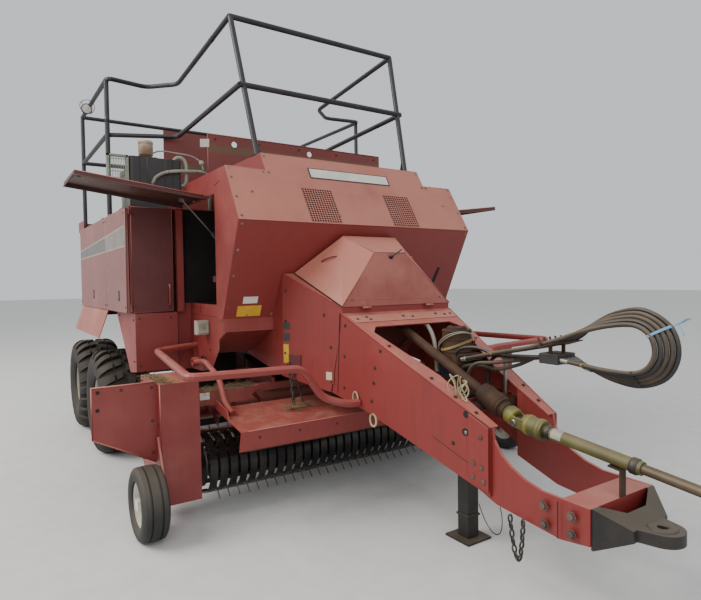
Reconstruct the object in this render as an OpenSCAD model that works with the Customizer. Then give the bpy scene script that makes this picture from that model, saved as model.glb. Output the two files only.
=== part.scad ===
// Large square baler, parked on its jack, with both service lids swung open.
// Lengths in millimetres. +X is the way it is pulled, +Y its left side, +Z up.
// Stations along X are counted from the nose of the hood (x = 0 there), and
// at_nose() shifts them so that the origin is mid-length on the ground.
// The right side (-Y) is drawn, and on_side() mirrors it to the left.

/* [Overall] */
// Hood nose to the rear lip of the bale chute
rear_reach = 5400; // [5250:50:5600]
// Hood nose to the tip of the drive shaft
front_reach = 2480; // [2440:10:2600]
// Thickness of body sheet metal
sheet_t = 5; // [4:1:8]

/* [Bale chamber] */
// Inside width of the chamber
chamber_w = 800; // [760:10:840]
// Inside height of the chamber
chamber_h = 870; // [800:10:900]
// Underside of the chamber floor above the ground
chamber_z = 1080; // [1060:5:1100]
// Front end of the chamber, behind the nose
chamber_front = 1050; // [1000:10:1100]
// Rear end of the chamber, behind the nose
chamber_rear = 4600; // [4500:10:4620]
// Wall thickness of the chamber
chamber_t = 12; // [8:1:16]

/* [Hood] */
// Half-width of the hood
hood_half = 960; // [940:5:980]
// Height of the nose fold
nose_z = 1842; // [1820:2:1860]
// Height of the roof shoulders
shoulder_z = 2198; // [2180:2:2220]
// Height of the raised middle of the roof
crown_z = 2323; // [2300:1:2340]
// Half-width of the raised middle
crown_half = 680; // [640:5:720]
// Bottom of the hood's lower face
hood_low_z = 1222; // [1210:2:1240]

/* [Twine boxes] */
// Outer face of the side panels from the middle
box_half = 1400; // [1390:5:1420]
// Inner wall of the boxes from the middle
box_inner = 1045; // [1040:5:1060]
// Front of the boxes, behind the nose
box_front = 980; // [960:5:1000]
// Rear of the boxes, behind the nose
box_rear = 3040; // [3000:10:3100]
// Seam between the front and rear side panels, behind the nose
panel_seam = 1750; // [1700:10:1800]
// Bottom of the boxes
box_low_z = 1247; // [1240:1:1260]
// Top of the boxes
box_top_z = 2009; // [2000:1:2030]

/* [Lids] */
// Length of a service lid from hinge to lip
lid_len = 800; // [760:10:820]
// Width of a service lid along the machine
lid_w = 470; // [440:10:480]
// Angle of an open lid above level
lid_open = 7; // [5:1:10]
// Height of the lid hinges
lid_hinge_z = 2030; // [2025:1:2040]

/* [Road wheels] */
// Radius of a road tyre
tyre_r = 445; // [430:1:450]
// Width of a road tyre
tyre_w = 400; // [380:5:410]
// Radius of a road rim
rim_r = 205; // [195:1:215]
// Front road axle, behind the nose
axle_front = 2060; // [2040:5:2070]
// Spacing of the two road axles
axle_gap = 1100; // [1080:5:1120]
// Middle of a road tyre from the middle of the machine
track_half = 1275; // [1270:5:1280]
// Radius of the stub axles
stub_r = 32; // [28:1:36]

/* [Tongue] */
// Half-width of the tongue where it leaves the hood
tongue_rear_half = 600; // [580:5:620]
// Half-width of the tongue at the hitch end
tongue_front_half = 250; // [240:5:260]
// Plate thickness of the tongue
tongue_t = 12; // [8:1:16]
// Radius of the hitch pin hole
hitch_r = 20; // [16:0.5:24]
// Height of the hitch plate's middle
hitch_z = 420; // [400:5:440]
// Hitch pin, ahead of the nose
hitch_x = 2007; // [1990:1:2030]
// Thickness of the hitch ring plate
hitch_t = 50; // [40:2:60]
// Width of the square jack leg
jack_w = 80; // [70:5:100]
// Jack leg, ahead of the nose
jack_x = 925; // [900:5:950]

/* [Drive] */
// Flywheel radius
flywheel_r = 330; // [300:5:340]
// Flywheel rim width
flywheel_w = 90; // [70:5:100]
// Height of the flywheel shaft
flywheel_z = 1220; // [1200:5:1240]
// Flywheel middle, ahead of the nose
flywheel_x = 100; // [80:5:120]
// Front universal joint, ahead of the nose
joint_x = 1290; // [1280:5:1300]
// Height of the front universal joint
joint_z = 735; // [725:5:745]
// Fall of the drive shaft towards its tip, in degrees
shaft_fall = 6.5; // [6:0.5:7]
// Bore radius of the splined yoke at the tip
yoke_bore_r = 22; // [18:0.5:24]

/* [Pickup] */
// Half-width over the stripper bands
pickup_half = 1140; // [1100:5:1150]
// Reel axis, behind the nose
reel_back = 345; // [335:5:355]
// Height of the reel axis
reel_z = 300; // [295:5:310]
// Radius to the tine tips
tine_tip_r = 262; // [255:1:265]
// Outer radius of the stripper bands
band_r = 190; // [185:1:195]
// Spacing of tines and bands
tine_pitch = 66; // [66:1:70]
// Radius of the tine bars' pitch circle
bar_circle_r = 128; // [120:1:132]
// Radius of a tine
tine_r = 3.5; // [3:0.5:4]
// Height of the pickup's lift axis
lift_z = 700; // [690:5:710]
// Pickup's lift axis, behind the nose
lift_back = 1150; // [1140:5:1160]
// Radius of the lift pins
lift_pin_r = 20; // [16:1:24]
// Radius of a gauge wheel
gauge_r = 210; // [205:1:212]
// Width of a gauge tyre
gauge_w = 150; // [140:5:155]
// Middle of a gauge tyre from the middle of the machine
gauge_half = 1500; // [1495:1:1505]
// Gauge wheel axle, behind the nose
gauge_back = 100; // [90:5:110]

/* [Rails] */
// Radius of the handrail tube
rail_r = 20; // [16:1:24]
// Height of the handrail at the front
rail_top_z = 3360; // [3340:5:3380]
// Radius of the guard tube beside the tongue
guard_r = 23; // [20:1:26]
// Height of the guard tube
guard_z = 985; // [980:5:990]

/* [Hidden] */
$fn = 48;
nose_x = (rear_reach - front_reach) / 2;
fit = 0.05;
seat = 0.3;
gap = 6;
floor_z = chamber_z + chamber_t;
chamber_top = floor_z + chamber_h;
chamber_half = chamber_w / 2;
rail_sect = [100, 190];
rail_y = chamber_half + 55;
lid_t = 22;
lid_hinge_y = hood_half + 30;
lid_front = 465;
knuckle_xs = [-875, -700, -525];
// Hinge axes of the box doors in [x, y] and of the side panels in [y, z]
door_axis = [-box_front - 6, -box_half + 30];
panel_axis = [-box_half + 14, box_top_z - 6];
panel_pins = [-2900, -1900, -1600, -1160];
skirt_y = box_half - 50;
auger_x = -770;
auger_z = 560;
wg_hinge = [-760, 900];
arm_y = hood_half + 40;
windguard_half = arm_y + 50;
chute_hinge = [-chamber_rear - 60, chamber_z - 30];
strut_x = -500;
strut_eye = [-150, -45];
strut_foot = [-720, 1550];
// Eye of a strut on the open lid, as [y, z]
strut_top = [-lid_hinge_y, lid_hinge_z] + turn2(strut_eye, -lid_open);
strut_v = strut_top - strut_foot;
strut_len = norm(strut_v);
strut_tilt = atan2(-strut_v.x, strut_v.y);
strut_tube_len = 330;
axle_z = tyre_r;
axle_xs = [-axle_front, -axle_front - axle_gap];
beam_pivot_x = -axle_front - axle_gap / 2;
beam_y = track_half - tyre_w / 2 - 100;
beam_pivot_z = 640;
// Route of the middle hose, and the step to the next one: x, y, z, then the step in x, y and z
hose_r = 11;
shelf_z = 960;
hose_line = [
    [780, 165, 985, 0, 34, 0], [900, 165, 1015, 0, 34, 0], [1030, 165, 1046, 0, 38, 0], [1170, 165, 1077, 0, 45, 0],
    [1310, 165, 1110, 0, 45, 0], [1450, 165, 1155, 0, 45, 0], [1570, 165, 1220, -4, 34, 8],
    [1690, 165, 1265, -3, 24, 14], [1815, 165, 1278, 2, 18, 16], [1908, 165, 1223, 13, 18, 9],
    [1935, 165, 1128, 16, 18, -1], [1896, 165, 1042, 12, 18, -11], [1807, 165, 1000, 1, 18, -16],
    [1685, 165, 1002, 0, 20, -14], [1565, 165, 1025, -1, 24, -8], [1450, 165, 1055, 0, 28, 0]];
red = "#a8473f";
dark_red = "#7d3230";
black = "#1c1c1e";
rail_blue = "#2b2f38";
grey = "#77787a";

function turn2(p, a) = [p.x * cos(a) - p.y * sin(a), p.x * sin(a) + p.y * cos(a)];

module at_nose() translate([nose_x, 0, 0]) children();
// Side -1 is the right, as drawn, and +1 the left, mirrored
module on_side(s) {
    if (s > 0) mirror([0, 1, 0]) children();
    else children();
}
module both() { on_side(-1) children(); on_side(1) children(); }
// A box from its lowest to its highest corner
module block(a, b) translate(a) cube(b - a);
// A round bar between two points
module bar(p, q, r) {
    v = q - p;
    translate(p) rotate([0, acos(v.z / norm(v)), atan2(v.y, v.x)]) cylinder(r = r, h = norm(v));
}
function unit(v) = v / norm(v);
// A path whose inner corners are rounded, starting b before each corner
function rounded(p, b) = [p[0], for (i = [1 : 1 : len(p) - 2]) let (
    a = p[i] + b * unit(p[i - 1] - p[i]),
    c = p[i] + b * unit(p[i + 1] - p[i]))
    each [for (t = [0 : 0.25 : 1]) a * (1 - t) * (1 - t) + p[i] * 2 * t * (1 - t) + c * t * t],
    p[len(p) - 1]];
// Direction of a path at each of its points
function headings(p) = [for (i = [0 : len(p) - 1])
    unit((i > 0 ? unit(p[i] - p[i - 1]) : [0, 0, 0]) + (i < len(p) - 1 ? unit(p[i + 1] - p[i]) : [0, 0, 0]))];
// Sideways vectors carried along a path without twisting
function sides_of(h, i = 0, last = [0, 0, 1], done = []) = i == len(h) ? done :
    let (base = abs(last * h[i]) > 0.95 ? [1, 0, 0] : last, u = unit(base - (base * h[i]) * h[i]))
    sides_of(h, i + 1, u, concat(done, [u]));
// A tube of n sides and radius r swept along a path
module sweep(p, r, n = 10) {
    h = headings(p);
    u = sides_of(h);
    last = len(p) - 1;
    polyhedron([for (i = [0 : last]) for (k = [0 : n - 1])
            p[i] + r * (cos(360 * k / n) * u[i] + sin(360 * k / n) * cross(h[i], u[i]))],
        concat([[for (k = [0 : n - 1]) k]], [[for (k = [n - 1 : -1 : 0]) last * n + k]],
            [for (i = [0 : last - 1]) for (k = [0 : n - 1])
                [i * n + k, (i + 1) * n + k, (i + 1) * n + (k + 1) % n, i * n + (k + 1) % n]]));
}
module tube(points, r, b = 60) sweep(rounded(points, b), r);
// A plate cut to an outline in X and Z, its outer face at y and its thickness towards +Y
module side_plate(outline, y, t) translate([0, y + t, 0]) rotate([90, 0, 0]) linear_extrude(t) polygon(outline);
// A plate standing over the line from p to q in plan; the outline's X values are machine stations
module slant_plate(p, q, outline, t) {
    v = q - p;
    stretch = norm(v) / v.x;
    translate([p.x, p.y, 0]) rotate([0, 0, atan2(v.y, v.x)]) translate([0, t, 0]) rotate([90, 0, 0])
        linear_extrude(t) polygon([for (o = outline) [(o.x - p.x) * stretch, o.y]]);
}

// Main frame: two box rails, cross members, uprights for the hood and outriggers for the twine boxes
rail_front = -720;
rail_low = chamber_z - rail_sect.y;
module frame() color(dark_red) at_nose() {
    difference() {
        union() {
            both() block([-chamber_rear, -rail_y - rail_sect.x / 2, rail_low],
                [rail_front, -rail_y + rail_sect.x / 2, chamber_z]);
            for (x = [-3300, -4450]) block([x - 50, -rail_y + rail_sect.x / 2, chamber_z - 140],
                [x + 50, rail_y - rail_sect.x / 2, chamber_z - 40]);
            // Front cross plate that the tongue bolts to
            block([rail_front, -tongue_rear_half + tongue_t, chamber_z - 150],
                [rail_front + 20, tongue_rear_half - tongue_t, chamber_z + 50]);
            // Axle tube with its saddles under the rails
            translate([beam_pivot_x, 0, beam_pivot_z]) rotate([90, 0, 0])
                cylinder(r = 75, h = 2 * beam_y - 90, center = true);
            both() block([beam_pivot_x - 130, -rail_y - 40, beam_pivot_z - 20],
                [beam_pivot_x + 130, -rail_y + 40, rail_low]);
            both() {
                // Outriggers that carry the twine boxes
                for (x = [-box_front - 160, -box_rear + 200]) {
                    block([x - 40, -skirt_y + sheet_t + seat, box_low_z - 90], [x + 40, -chamber_half - 80, box_low_z - seat]);
                    block([x - 40, -rail_y - 50, chamber_z], [x + 40, -chamber_half - 80, box_low_z - 90]);
                }
                // Bulkhead between the chamber and the twine box
                block([-1040, -box_inner + 10 + 2 * seat, chamber_z - 10], [-1030, -chamber_half - 25, box_top_z - seat]);
                // Front beam that carries the lower side panels, the guard tube and the windguard
                block([-880, -hood_half + 30 + seat, chamber_z - 110], [-800, -rail_y - 50, chamber_z - 30]);
                block([-800, -hood_half + 30 + seat, wg_hinge.y - 30], [-720, -hood_half + 45, chamber_z - 40]);
                // Lift pin plates
                block([-lift_back - 70, -rail_y - 50, lift_z - 60], [-lift_back + 70, -rail_y - 30, rail_low]);
                // Ears for the chute's hinge
                block([chute_hinge.x - 40, -chamber_half - 70, chute_hinge.y - 40],
                    [-chamber_rear, -chamber_half - 50, chute_hinge.y + 30]);
            }
        }
        translate([chute_hinge.x, 0, chute_hinge.y]) rotate([90, 0, 0])
            cylinder(r = 22 + fit, h = 2000, center = true);
    }
    both() {
        translate([-lift_back, -rail_y - 40, lift_z]) rotate([90, 0, 0]) cylinder(r = lift_pin_r, h = 75);
        translate([wg_hinge.x, -hood_half + 35, wg_hinge.y]) rotate([90, 0, 0]) cylinder(r = 15, h = 88);
        // Uprights and cross bars inside the hood, and the strut's pin
        block([-480, -620, hood_low_z + seat], [-420, -560, crown_z - sheet_t - seat]);
        block([-480, -hood_half + sheet_t + seat, strut_foot.y - 85], [-420, -620, strut_foot.y - 45]);
        block([-480, strut_foot.x - 15, strut_foot.y - 45], [-474, strut_foot.x + 15, strut_foot.y + 15]);
        translate([-510, strut_foot.x, strut_foot.y]) rotate([0, 90, 0]) cylinder(r = 5, h = 36);
    }
}

// Bale chamber: floor, side walls with ribs, and the front roof
module chamber() color(red) at_nose() {
    wall_rear = 2900;
    rib_xs = [for (x = [-chamber_front - 80 : -330 : -wall_rear + 60]) x];
    block([-chamber_rear, -chamber_half - chamber_t, chamber_z], [-chamber_front, chamber_half + chamber_t, floor_z]);
    both() {
        block([-wall_rear, -chamber_half - chamber_t, floor_z], [-chamber_front, -chamber_half, chamber_top]);
        for (x = rib_xs) block([x - 30, -chamber_half - 75, chamber_z + 30],
            [x + 30, -chamber_half - chamber_t, chamber_top]);
        // Lower corner angle of the open rear part
        block([-chamber_rear, -chamber_half - chamber_t, floor_z], [-wall_rear, -chamber_half, floor_z + 160]);
        for (z = [floor_z + 330, floor_z + 560]) block([-chamber_rear, -chamber_half - 60, z],
            [-wall_rear, -chamber_half, z + 90]);
        for (x = [-wall_rear - 60, -3700, -chamber_rear + 60]) block([x - 40, -chamber_half - 100, chamber_z],
            [x + 40, -chamber_half - 60, floor_z + 650]);
        for (x = [-wall_rear - 60, -3700, -chamber_rear + 60]) block([x - 40, -chamber_half - 60, chamber_z],
            [x + 40, -chamber_half - chamber_t, floor_z + 60]);
    }
    block([-2560, -chamber_half - chamber_t, chamber_top],
        [-chamber_front, chamber_half + chamber_t, chamber_top + chamber_t]);
}

// Top tension rails with the cross-head frame and its two density cylinders
module tension_rails() color(red) at_nose() {
    head_x = -4150;
    for (y = [-270, 0, 270]) block([-chamber_rear, y - 60, chamber_top], [-2700, y + 60, chamber_top + 110]);
    block([-2820, -chamber_half - 100, chamber_top + seat], [-2700, chamber_half + 100, chamber_top + 80]);
    block([head_x - 90, -chamber_half - 190, chamber_top + 110], [head_x + 90, chamber_half + 190, chamber_top + 250]);
    block([head_x - 90, -chamber_half - 190, chamber_z - rail_sect.y - 130],
        [head_x + 90, chamber_half + 190, chamber_z - rail_sect.y]);
    both() {
        translate([head_x, -chamber_half - 150, chamber_z - rail_sect.y]) {
            cylinder(r = 38, h = 620);
            cylinder(r = 22, h = chamber_top + 110 - chamber_z + rail_sect.y);
        }
    }
}

// Tongue: two tapering side plates, a bolted front pair, top flanges and the hitch weldment
knee_x = 270;
knee_half = 450;
lap_x = 1320;
// Half-width over the tapering front plates at a station
function tongue_half(x) = knee_half - (x - knee_x) * (knee_half - tongue_front_half) / (lap_x - knee_x);
module tongue() color(red) at_nose() {
    rear_plate = [[-148, 1514], [-160, 1496], [-160, 833], [220, 771], [320, 1263], [320, curb_z]];
    front_plate = [[324, 1261], [lap_x, 746], [lap_x, 410], [530, 690], [224, 769]];
    weld_plate = concat([[1090, 470], [1090, 868], [1212, 790], [lap_x, 746]],
        [for (a = [0 : 15 : 75]) [1700 - 380 * cos(a), 516 + 230 * (1 - sin(a))]],
        [[1840, 520], [1840, 365], [1700, 345], [1350, 380]]);
    both() {
        slant_plate([-160, -tongue_rear_half], [knee_x, -knee_half], rear_plate, tongue_t);
        side_plate([[-160, 1496], [-300, hood_low_z], [-700, hood_low_z], [-740, 928], [-160, 833]],
            -tongue_rear_half, tongue_t);
        slant_plate([knee_x, -knee_half], [lap_x, -tongue_front_half], front_plate, tongue_t);
        side_plate(weld_plate, -tongue_front_half + tongue_t, tongue_t + 4);
    }
    // Top cover behind the opening and the flanges along the plates
    top_flange();
    cover_curb();
    // Cross members: jack carrier, front block and the crossplate
    for (x = [jack_x - jack_w / 2 - 12, jack_x + jack_w / 2]) {
        half = tongue_half(x + 6) - 6;
        block([x, -half, 620], [x + 12, half, 800]);
    }
    block([1700, -tongue_front_half + 28, 370], [1730, tongue_front_half - 28, 520]);
    block([1815, -tongue_front_half + 28, 370], [1840, tongue_front_half - 28, 520]);
    block([1730, -tongue_front_half + 28, 495], [1815, tongue_front_half - 28, 520]);
}
// Flange along the top of the front plates, open in the middle
module top_flange() {
    run = lap_x - 320;
    fall = 1263 - 746;
    length = norm([run, fall]);
    translate([320, 0, 1263]) rotate([0, atan2(fall, run), 0]) translate([0, 0, -8]) linear_extrude(8)
        difference() {
            polygon([[0, -knee_half + 16], [length, -tongue_front_half], [length, tongue_front_half],
                [0, knee_half - 16]]);
            polygon([[170, -300], [230, -350], [length * 0.62, -215], [length + 200, -180],
                [length + 200, 180], [length * 0.62, 215], [230, 350], [170, 300]]);
        }
}
// Curb under the pyramid cover: a sloping frame, a front strip and the cover's hinge pins
curb_z = 1298;
curb_slope = atan2(1514 - curb_z, 468);
module cover_curb() {
    translate([-148, 0, 1514]) rotate([0, curb_slope, 0]) translate([0, 0, -8]) linear_extrude(8) difference() {
        polygon([[0, -588], [515, -knee_half + 12], [515, knee_half - 12], [0, 588]]);
        polygon([[-10, -470], [450, -390], [450, 390], [-10, 470]]);
    }
    block([310, -knee_half + 14, 1255], [320, knee_half - 14, curb_z - 2]);
    for (y = cover_pins) {
        translate([cover_hinge.x, y + 45, cover_hinge.y]) rotate([90, 0, 0]) cylinder(r = 5, h = 65);
        translate([cover_hinge.x, y + 45, cover_hinge.y]) rotate([90, 0, 0]) cylinder(r = 10, h = 24);
        block([318, y + 21, cover_hinge.y - 10], [cover_hinge.x, y + 45, cover_hinge.y + 4]);
    }
}

// Hitch casting: two cheeks that sweep in to a ring plate
module hitch() color(black) at_nose() {
    ring_r = 85;
    difference() {
        union() {
            hull() {
                translate([hitch_x, 0, hitch_z - hitch_t / 2]) cylinder(r = ring_r, h = hitch_t);
                block([1900, -110, hitch_z - hitch_t / 2], [1930, 110, hitch_z + hitch_t / 2]);
            }
            difference() {
                hull() {
                    block([1840, -tongue_front_half + 20, 350], [1850, tongue_front_half - 20, 520]);
                    block([1940, -130, hitch_z - hitch_t / 2], [1960, 130, hitch_z + hitch_t / 2]);
                }
                hull() {
                    block([1820, -tongue_front_half + 70, 380], [1850, tongue_front_half - 70, 600]);
                    block([1890, -70, 380], [1900, 70, 600]);
                }
            }
        }
        translate([hitch_x, 0, hitch_z]) cylinder(r = hitch_r, h = 200, center = true);
    }
}

// Square landing leg with its foot plate
module jack() color(black) at_nose() {
    difference() {
        block([jack_x - jack_w / 2, -jack_w / 2, 12], [jack_x + jack_w / 2, jack_w / 2, 820]);
        block([jack_x - jack_w / 2 + 6, -jack_w / 2 + 6, 12], [jack_x + jack_w / 2 - 6, jack_w / 2 - 6, 821]);
    }
    block([jack_x - 90, -90, 0], [jack_x + 90, 90, 12]);
}

// Rest for the drive shaft, the gland that the hoses leave, and the comb that holds them
module brackets() color(grey) at_nose() {
    shaft_rest();
    hose_gland();
    hose_comb();
}
// A pad tilted with the shaft, on a post at the hitch
module shaft_rest() {
    rest_x = 1843;
    rest_z = joint_z - (rest_x - joint_x) * tan(shaft_fall) - (30 + 1.5) / cos(shaft_fall);
    block([rest_x - 10, -20, 520], [rest_x - 2, 20, rest_z - 4]);
    translate([rest_x, 0, rest_z]) rotate([0, shaft_fall, 0]) block([-60, -25, -8], [0, 25, 0]);
}
// A shelf on the left plate that carries the canister, with the gland in front and a box below
module hose_gland() {
    function wall_y(x) = tongue_half(x) - tongue_t * 1.02 - seat;
    gland_x = hose_line[0].x - 3;
    translate([0, 0, shelf_z - 10]) linear_extrude(10)
        polygon([[550, 100], [gland_x - 37, 100], [gland_x - 37, 60], [gland_x, 60], [gland_x, wall_y(gland_x)],
            [550, wall_y(550)]]);
    block([gland_x - 37, 60, shelf_z - 5], [gland_x, 275, hose_line[0].z + 25]);
    block([580, 110, 860], [720, 230, shelf_z - 5]);
}
// A slotted plate under the hoses, with the holder of their ends, an arm and a post on the shaft's carrier
module hose_comb() {
    p = hose_line[4];
    q = hose_line[5];
    way = atan2(q.z - p.z, q.x - p.x);
    mid = (0.3 * p + 0.7 * q);
    post = [1035, 190];
    translate([mid.x, p.y, mid.z]) rotate([0, -way, 0]) {
        block([-45, -125, -hose_r - seat - 6], [45, 125, -hose_r - seat]);
        for (k = [-2.5 : 1 : 2.5]) block([-40, k * p[4] - 4, -hose_r - seat - 1], [-32, k * p[4] + 4, 34]);
    }
    holder_x = hose_line[15].x - 3.5;
    block([holder_x - 110, p.y - 70, 1030], [holder_x, p.y + 70, 1080]);
    for (y = [-60, 45]) block([holder_x - 62, p.y + y, 1075], [holder_x - 48, p.y + y + 15, 1120]);
    bar([post.x, post.y, joint_z + 52 + seat], [post.x, post.y, 1030], 9);
    bar([post.x, post.y, 1020], [holder_x - 105, post.y, 1050], 9);
}

// Round canister on the shelf inside the tongue
module canister() color("#5a4436") at_nose() translate([640, 200, shelf_z + seat]) {
    cylinder(r = 90, h = 190);
    translate([0, 0, 190]) cylinder(r = 62, h = 14);
}

// Hydraulic hose k, from the gland over the comb and back to the holder
module hose(k) color(black) at_nose()
    sweep([for (p = hose_line) [p[0], p[1], p[2]] + (k - 2) * [p[3], p[4], p[5]]], hose_r, 8);

// Hood: front shield with a nose fold, roof shoulders and a raised middle
module hood() color(red) at_nose() {
    rear_x = -406;
    roof_rear = -1000;
    slope = (0 - -215) / (shoulder_z - nose_z);
    crown_x = -215 - (crown_z - shoulder_z) * slope;
    skin = [[0, nose_z], [-215, shoulder_z], [roof_rear, shoulder_z], [roof_rear, shoulder_z - sheet_t],
        [-215 - sheet_t, shoulder_z - sheet_t], [-sheet_t * 1.2, nose_z], [-300 - sheet_t, hood_low_z],
        [-300 - sheet_t, hood_low_z - 80], [-300, hood_low_z - 80], [-300, hood_low_z]];
    // Front faces and roof shoulders in one folded sheet
    difference() {
        translate([0, hood_half, 0]) rotate([90, 0, 0]) linear_extrude(2 * hood_half) polygon(skin);
        // The raised middle opens the roof beneath it
        block([roof_rear - 1, -crown_half + sheet_t, shoulder_z - 50], [crown_x + 40, crown_half - sheet_t, shoulder_z + 1]);
        // Room for the tongue and the flywheel behind the pyramid cover
        block([-400, -tongue_rear_half + 30, hood_low_z + 10], [20, tongue_rear_half - 30, 1500]);
        block([-400, -tongue_rear_half - 1, hood_low_z - 81], [-290, tongue_rear_half + 1, hood_low_z + 10]);
    }
    // Raised middle of the roof
    difference() {
        translate([0, crown_half, 0]) rotate([90, 0, 0]) linear_extrude(2 * crown_half)
            polygon([[-215, shoulder_z], [crown_x, crown_z], [roof_rear, crown_z], [roof_rear, shoulder_z]]);
        translate([-8, crown_half - sheet_t, 0]) rotate([90, 0, 0]) linear_extrude(2 * (crown_half - sheet_t))
            polygon([[-190, shoulder_z - 30], [crown_x, crown_z - sheet_t], [roof_rear - 1, crown_z - sheet_t],
                [roof_rear - 1, shoulder_z - 30]]);
    }
    // Side cheeks behind the front faces
    both() side_plate([[-sheet_t * 2, nose_z], [-219, shoulder_z - sheet_t], [rear_x, shoulder_z - sheet_t],
        [rear_x, hood_low_z], [-306, hood_low_z]], -hood_half, sheet_t);
    // Fascia over the service openings, with the lid's hinge knuckles
    both() difference() {
        union() {
            block([roof_rear, -hood_half, lid_hinge_z + 16], [rear_x, -hood_half + sheet_t, shoulder_z - sheet_t]);
            for (x = knuckle_xs) {
                translate([x - 15, -lid_hinge_y, lid_hinge_z]) rotate([0, 90, 0]) cylinder(r = 13, h = 30);
                block([x - 15, -lid_hinge_y, lid_hinge_z], [x + 15, -hood_half + sheet_t, lid_hinge_z + 16]);
            }
        }
        translate([-1000, -lid_hinge_y, lid_hinge_z]) rotate([0, 90, 0]) cylinder(r = 8 + fit, h = 600);
    }
    // Sill and lower side panels beneath the service openings
    both() side_plate([[-985, 1310], [rear_x - 0.5, 1310], [rear_x - 0.5, hood_low_z - 0.5], [-303, hood_low_z - 0.5],
        [-303, hood_low_z - 80], [-680, 960], [-985, 960]], -hood_half + 25, sheet_t);
    // Sloping belly under the hood
    both() translate([-306, 0, hood_low_z - 80]) rotate([0, -atan2(182, 374) , 0])
        block([-410, -hood_half + 30, -sheet_t], [0, -tongue_rear_half - 2, 0]);
}

// Pyramid cover over the flywheel, hinged at its front lower edge
cover_hinge = [334, 1290];
cover_pins = [-280, 235];
// Corners of one side as [x, half-width, z]: rear base, front base, rear top, front top
cover_corners = [[-140, 520, 1514], [322, 440, 1301], [6, 220, 1762], [230, 130, 1643]];
module pyramid(inset, drop) hull() for (c = cover_corners) for (s = [-1, 1])
    translate([c.x - sign(c.x - 80) * inset, s * (c.y - inset), c.z - drop]) cube(1, center = true);
module flywheel_cover() color(red) at_nose() {
    difference() {
        pyramid(0, 0);
        pyramid(sheet_t, sheet_t + 3);
    }
    for (y = cover_pins) difference() {
        union() {
            translate([cover_hinge.x, y + 20, cover_hinge.y]) rotate([90, 0, 0]) cylinder(r = 10, h = 40);
            block([320 + seat, y - 20, cover_hinge.y], [cover_hinge.x, y + 20, cover_hinge.y + 14]);
        }
        translate([cover_hinge.x, y + 30, cover_hinge.y]) rotate([90, 0, 0]) cylinder(r = 5 + fit, h = 60);
    }
}

// Flywheel with its rim, web and hub, spinning about X
module flywheel() color(dark_red) at_nose()
    translate([flywheel_x, 0, flywheel_z]) rotate([0, 90, 0]) rotate_extrude($fn = 96) polygon([
        [0, -430], [35, -430], [35, -60], [80, -60], [80, -15], [flywheel_r - 55, -15],
        [flywheel_r - 55, -flywheel_w / 2], [flywheel_r, -flywheel_w / 2], [flywheel_r, flywheel_w / 2],
        [flywheel_r - 55, flywheel_w / 2], [flywheel_r - 55, 15], [80, 15], [80, 70], [0, 70]]);

// Main gearbox: one plain housing with its input boss, cranks and feet
module gearbox() color(dark_red) at_nose() {
    block([-950, -230, chamber_z + 60], [-420, 230, 1700]);
    difference() {
        translate([-420, 0, flywheel_z]) rotate([0, 90, 0]) cylinder(r = 110, h = 130);
        translate([-290 - 60, 0, flywheel_z]) rotate([0, 90, 0]) cylinder(r = 35 + fit, h = 61);
    }
    both() {
        block([-930, -rail_y - 20, chamber_z], [-730, -229, chamber_z + 70]);
        translate([-760, -300, 1530]) rotate([90, 0, 0]) cylinder(r = 60, h = 140, center = true);
        hull() {
            translate([-760, -340, 1530]) rotate([90, 0, 0]) cylinder(r = 90, h = 50, center = true, $fn = 32);
            translate([-900, -340, 1750]) rotate([90, 0, 0]) cylinder(r = 60, h = 50, center = true, $fn = 32);
        }
    }
}

// Inclined shaft from the flywheel to the carrier at the front of the tongue
module drive_shaft() color(grey) at_nose() {
    back = [flywheel_x + 120, 0, flywheel_z - 8];
    front = [joint_x - 75, 0, joint_z + 32];
    way = (front - back) / norm(front - back);
    bar(back, front, 28);
    bar(front - way * 190, front - way * 40, 56);
    translate([flywheel_x + 70 + seat, 0, flywheel_z]) rotate([0, 90, 0]) cylinder(r = 62, h = 52);
    block([front.x - 215, -284, front.z - 10], [front.x - 145, 284, front.z + 20]);
    bar(front - way * 40, front - way * 8, 44);
    // Eye and cross pin of the front joint
    bar(front - way * 8, [joint_x, 0, joint_z], 15);
    translate([joint_x, 0, joint_z]) rotate([90, 0, 0]) {
        cylinder(r = 24, h = 36, center = true);
        cylinder(r = 12, h = 94, center = true);
    }
}

// Drive shaft ahead of the joint, drawn level and tilted to its rest
module along_shaft() at_nose() translate([joint_x, 0, joint_z]) rotate([0, shaft_fall, 0]) children();
pto_tube_len = 640;
shaft_len = (front_reach - joint_x) / cos(shaft_fall) - 49 * tan(shaft_fall);
module pto_tube() color("#7f8432") along_shaft() difference() {
    union() {
        rotate([0, 90, 0]) cylinder(r = 30, h = pto_tube_len);
        translate([40, 0, 0]) rotate([0, 90, 0]) cylinder(r = 48, h = 115);
        for (y = [-46, 22]) {
            block([0, y, -24], [60, y + 24, 24]);
            translate([0, y + 24, 0]) rotate([90, 0, 0]) cylinder(r = 24, h = 24);
        }
    }
    block([-40, -22, -60], [40, 22, 60]);
    rotate([90, 0, 0]) cylinder(r = 12 + fit, h = 200, center = true);
    translate([60, 0, 0]) rotate([0, 90, 0]) cylinder(r = 22 + fit, h = pto_tube_len);
}
module pto_tip() color("#5a4a3a") along_shaft() {
    difference() {
        union() {
            translate([160, 0, 0]) rotate([0, 90, 0]) cylinder(r = 22, h = shaft_len - 200);
            translate([shaft_len - 190, 0, 0]) rotate([0, 90, 0]) cylinder(r = 38, h = 110);
            translate([shaft_len - 90, 0, 0]) rotate([0, 90, 0]) cylinder(r = 49, h = 90);
        }
        translate([shaft_len - 92, 0, 0]) rotate([0, 90, 0]) cylinder(r = yoke_bore_r, h = 112);
    }
}

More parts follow.
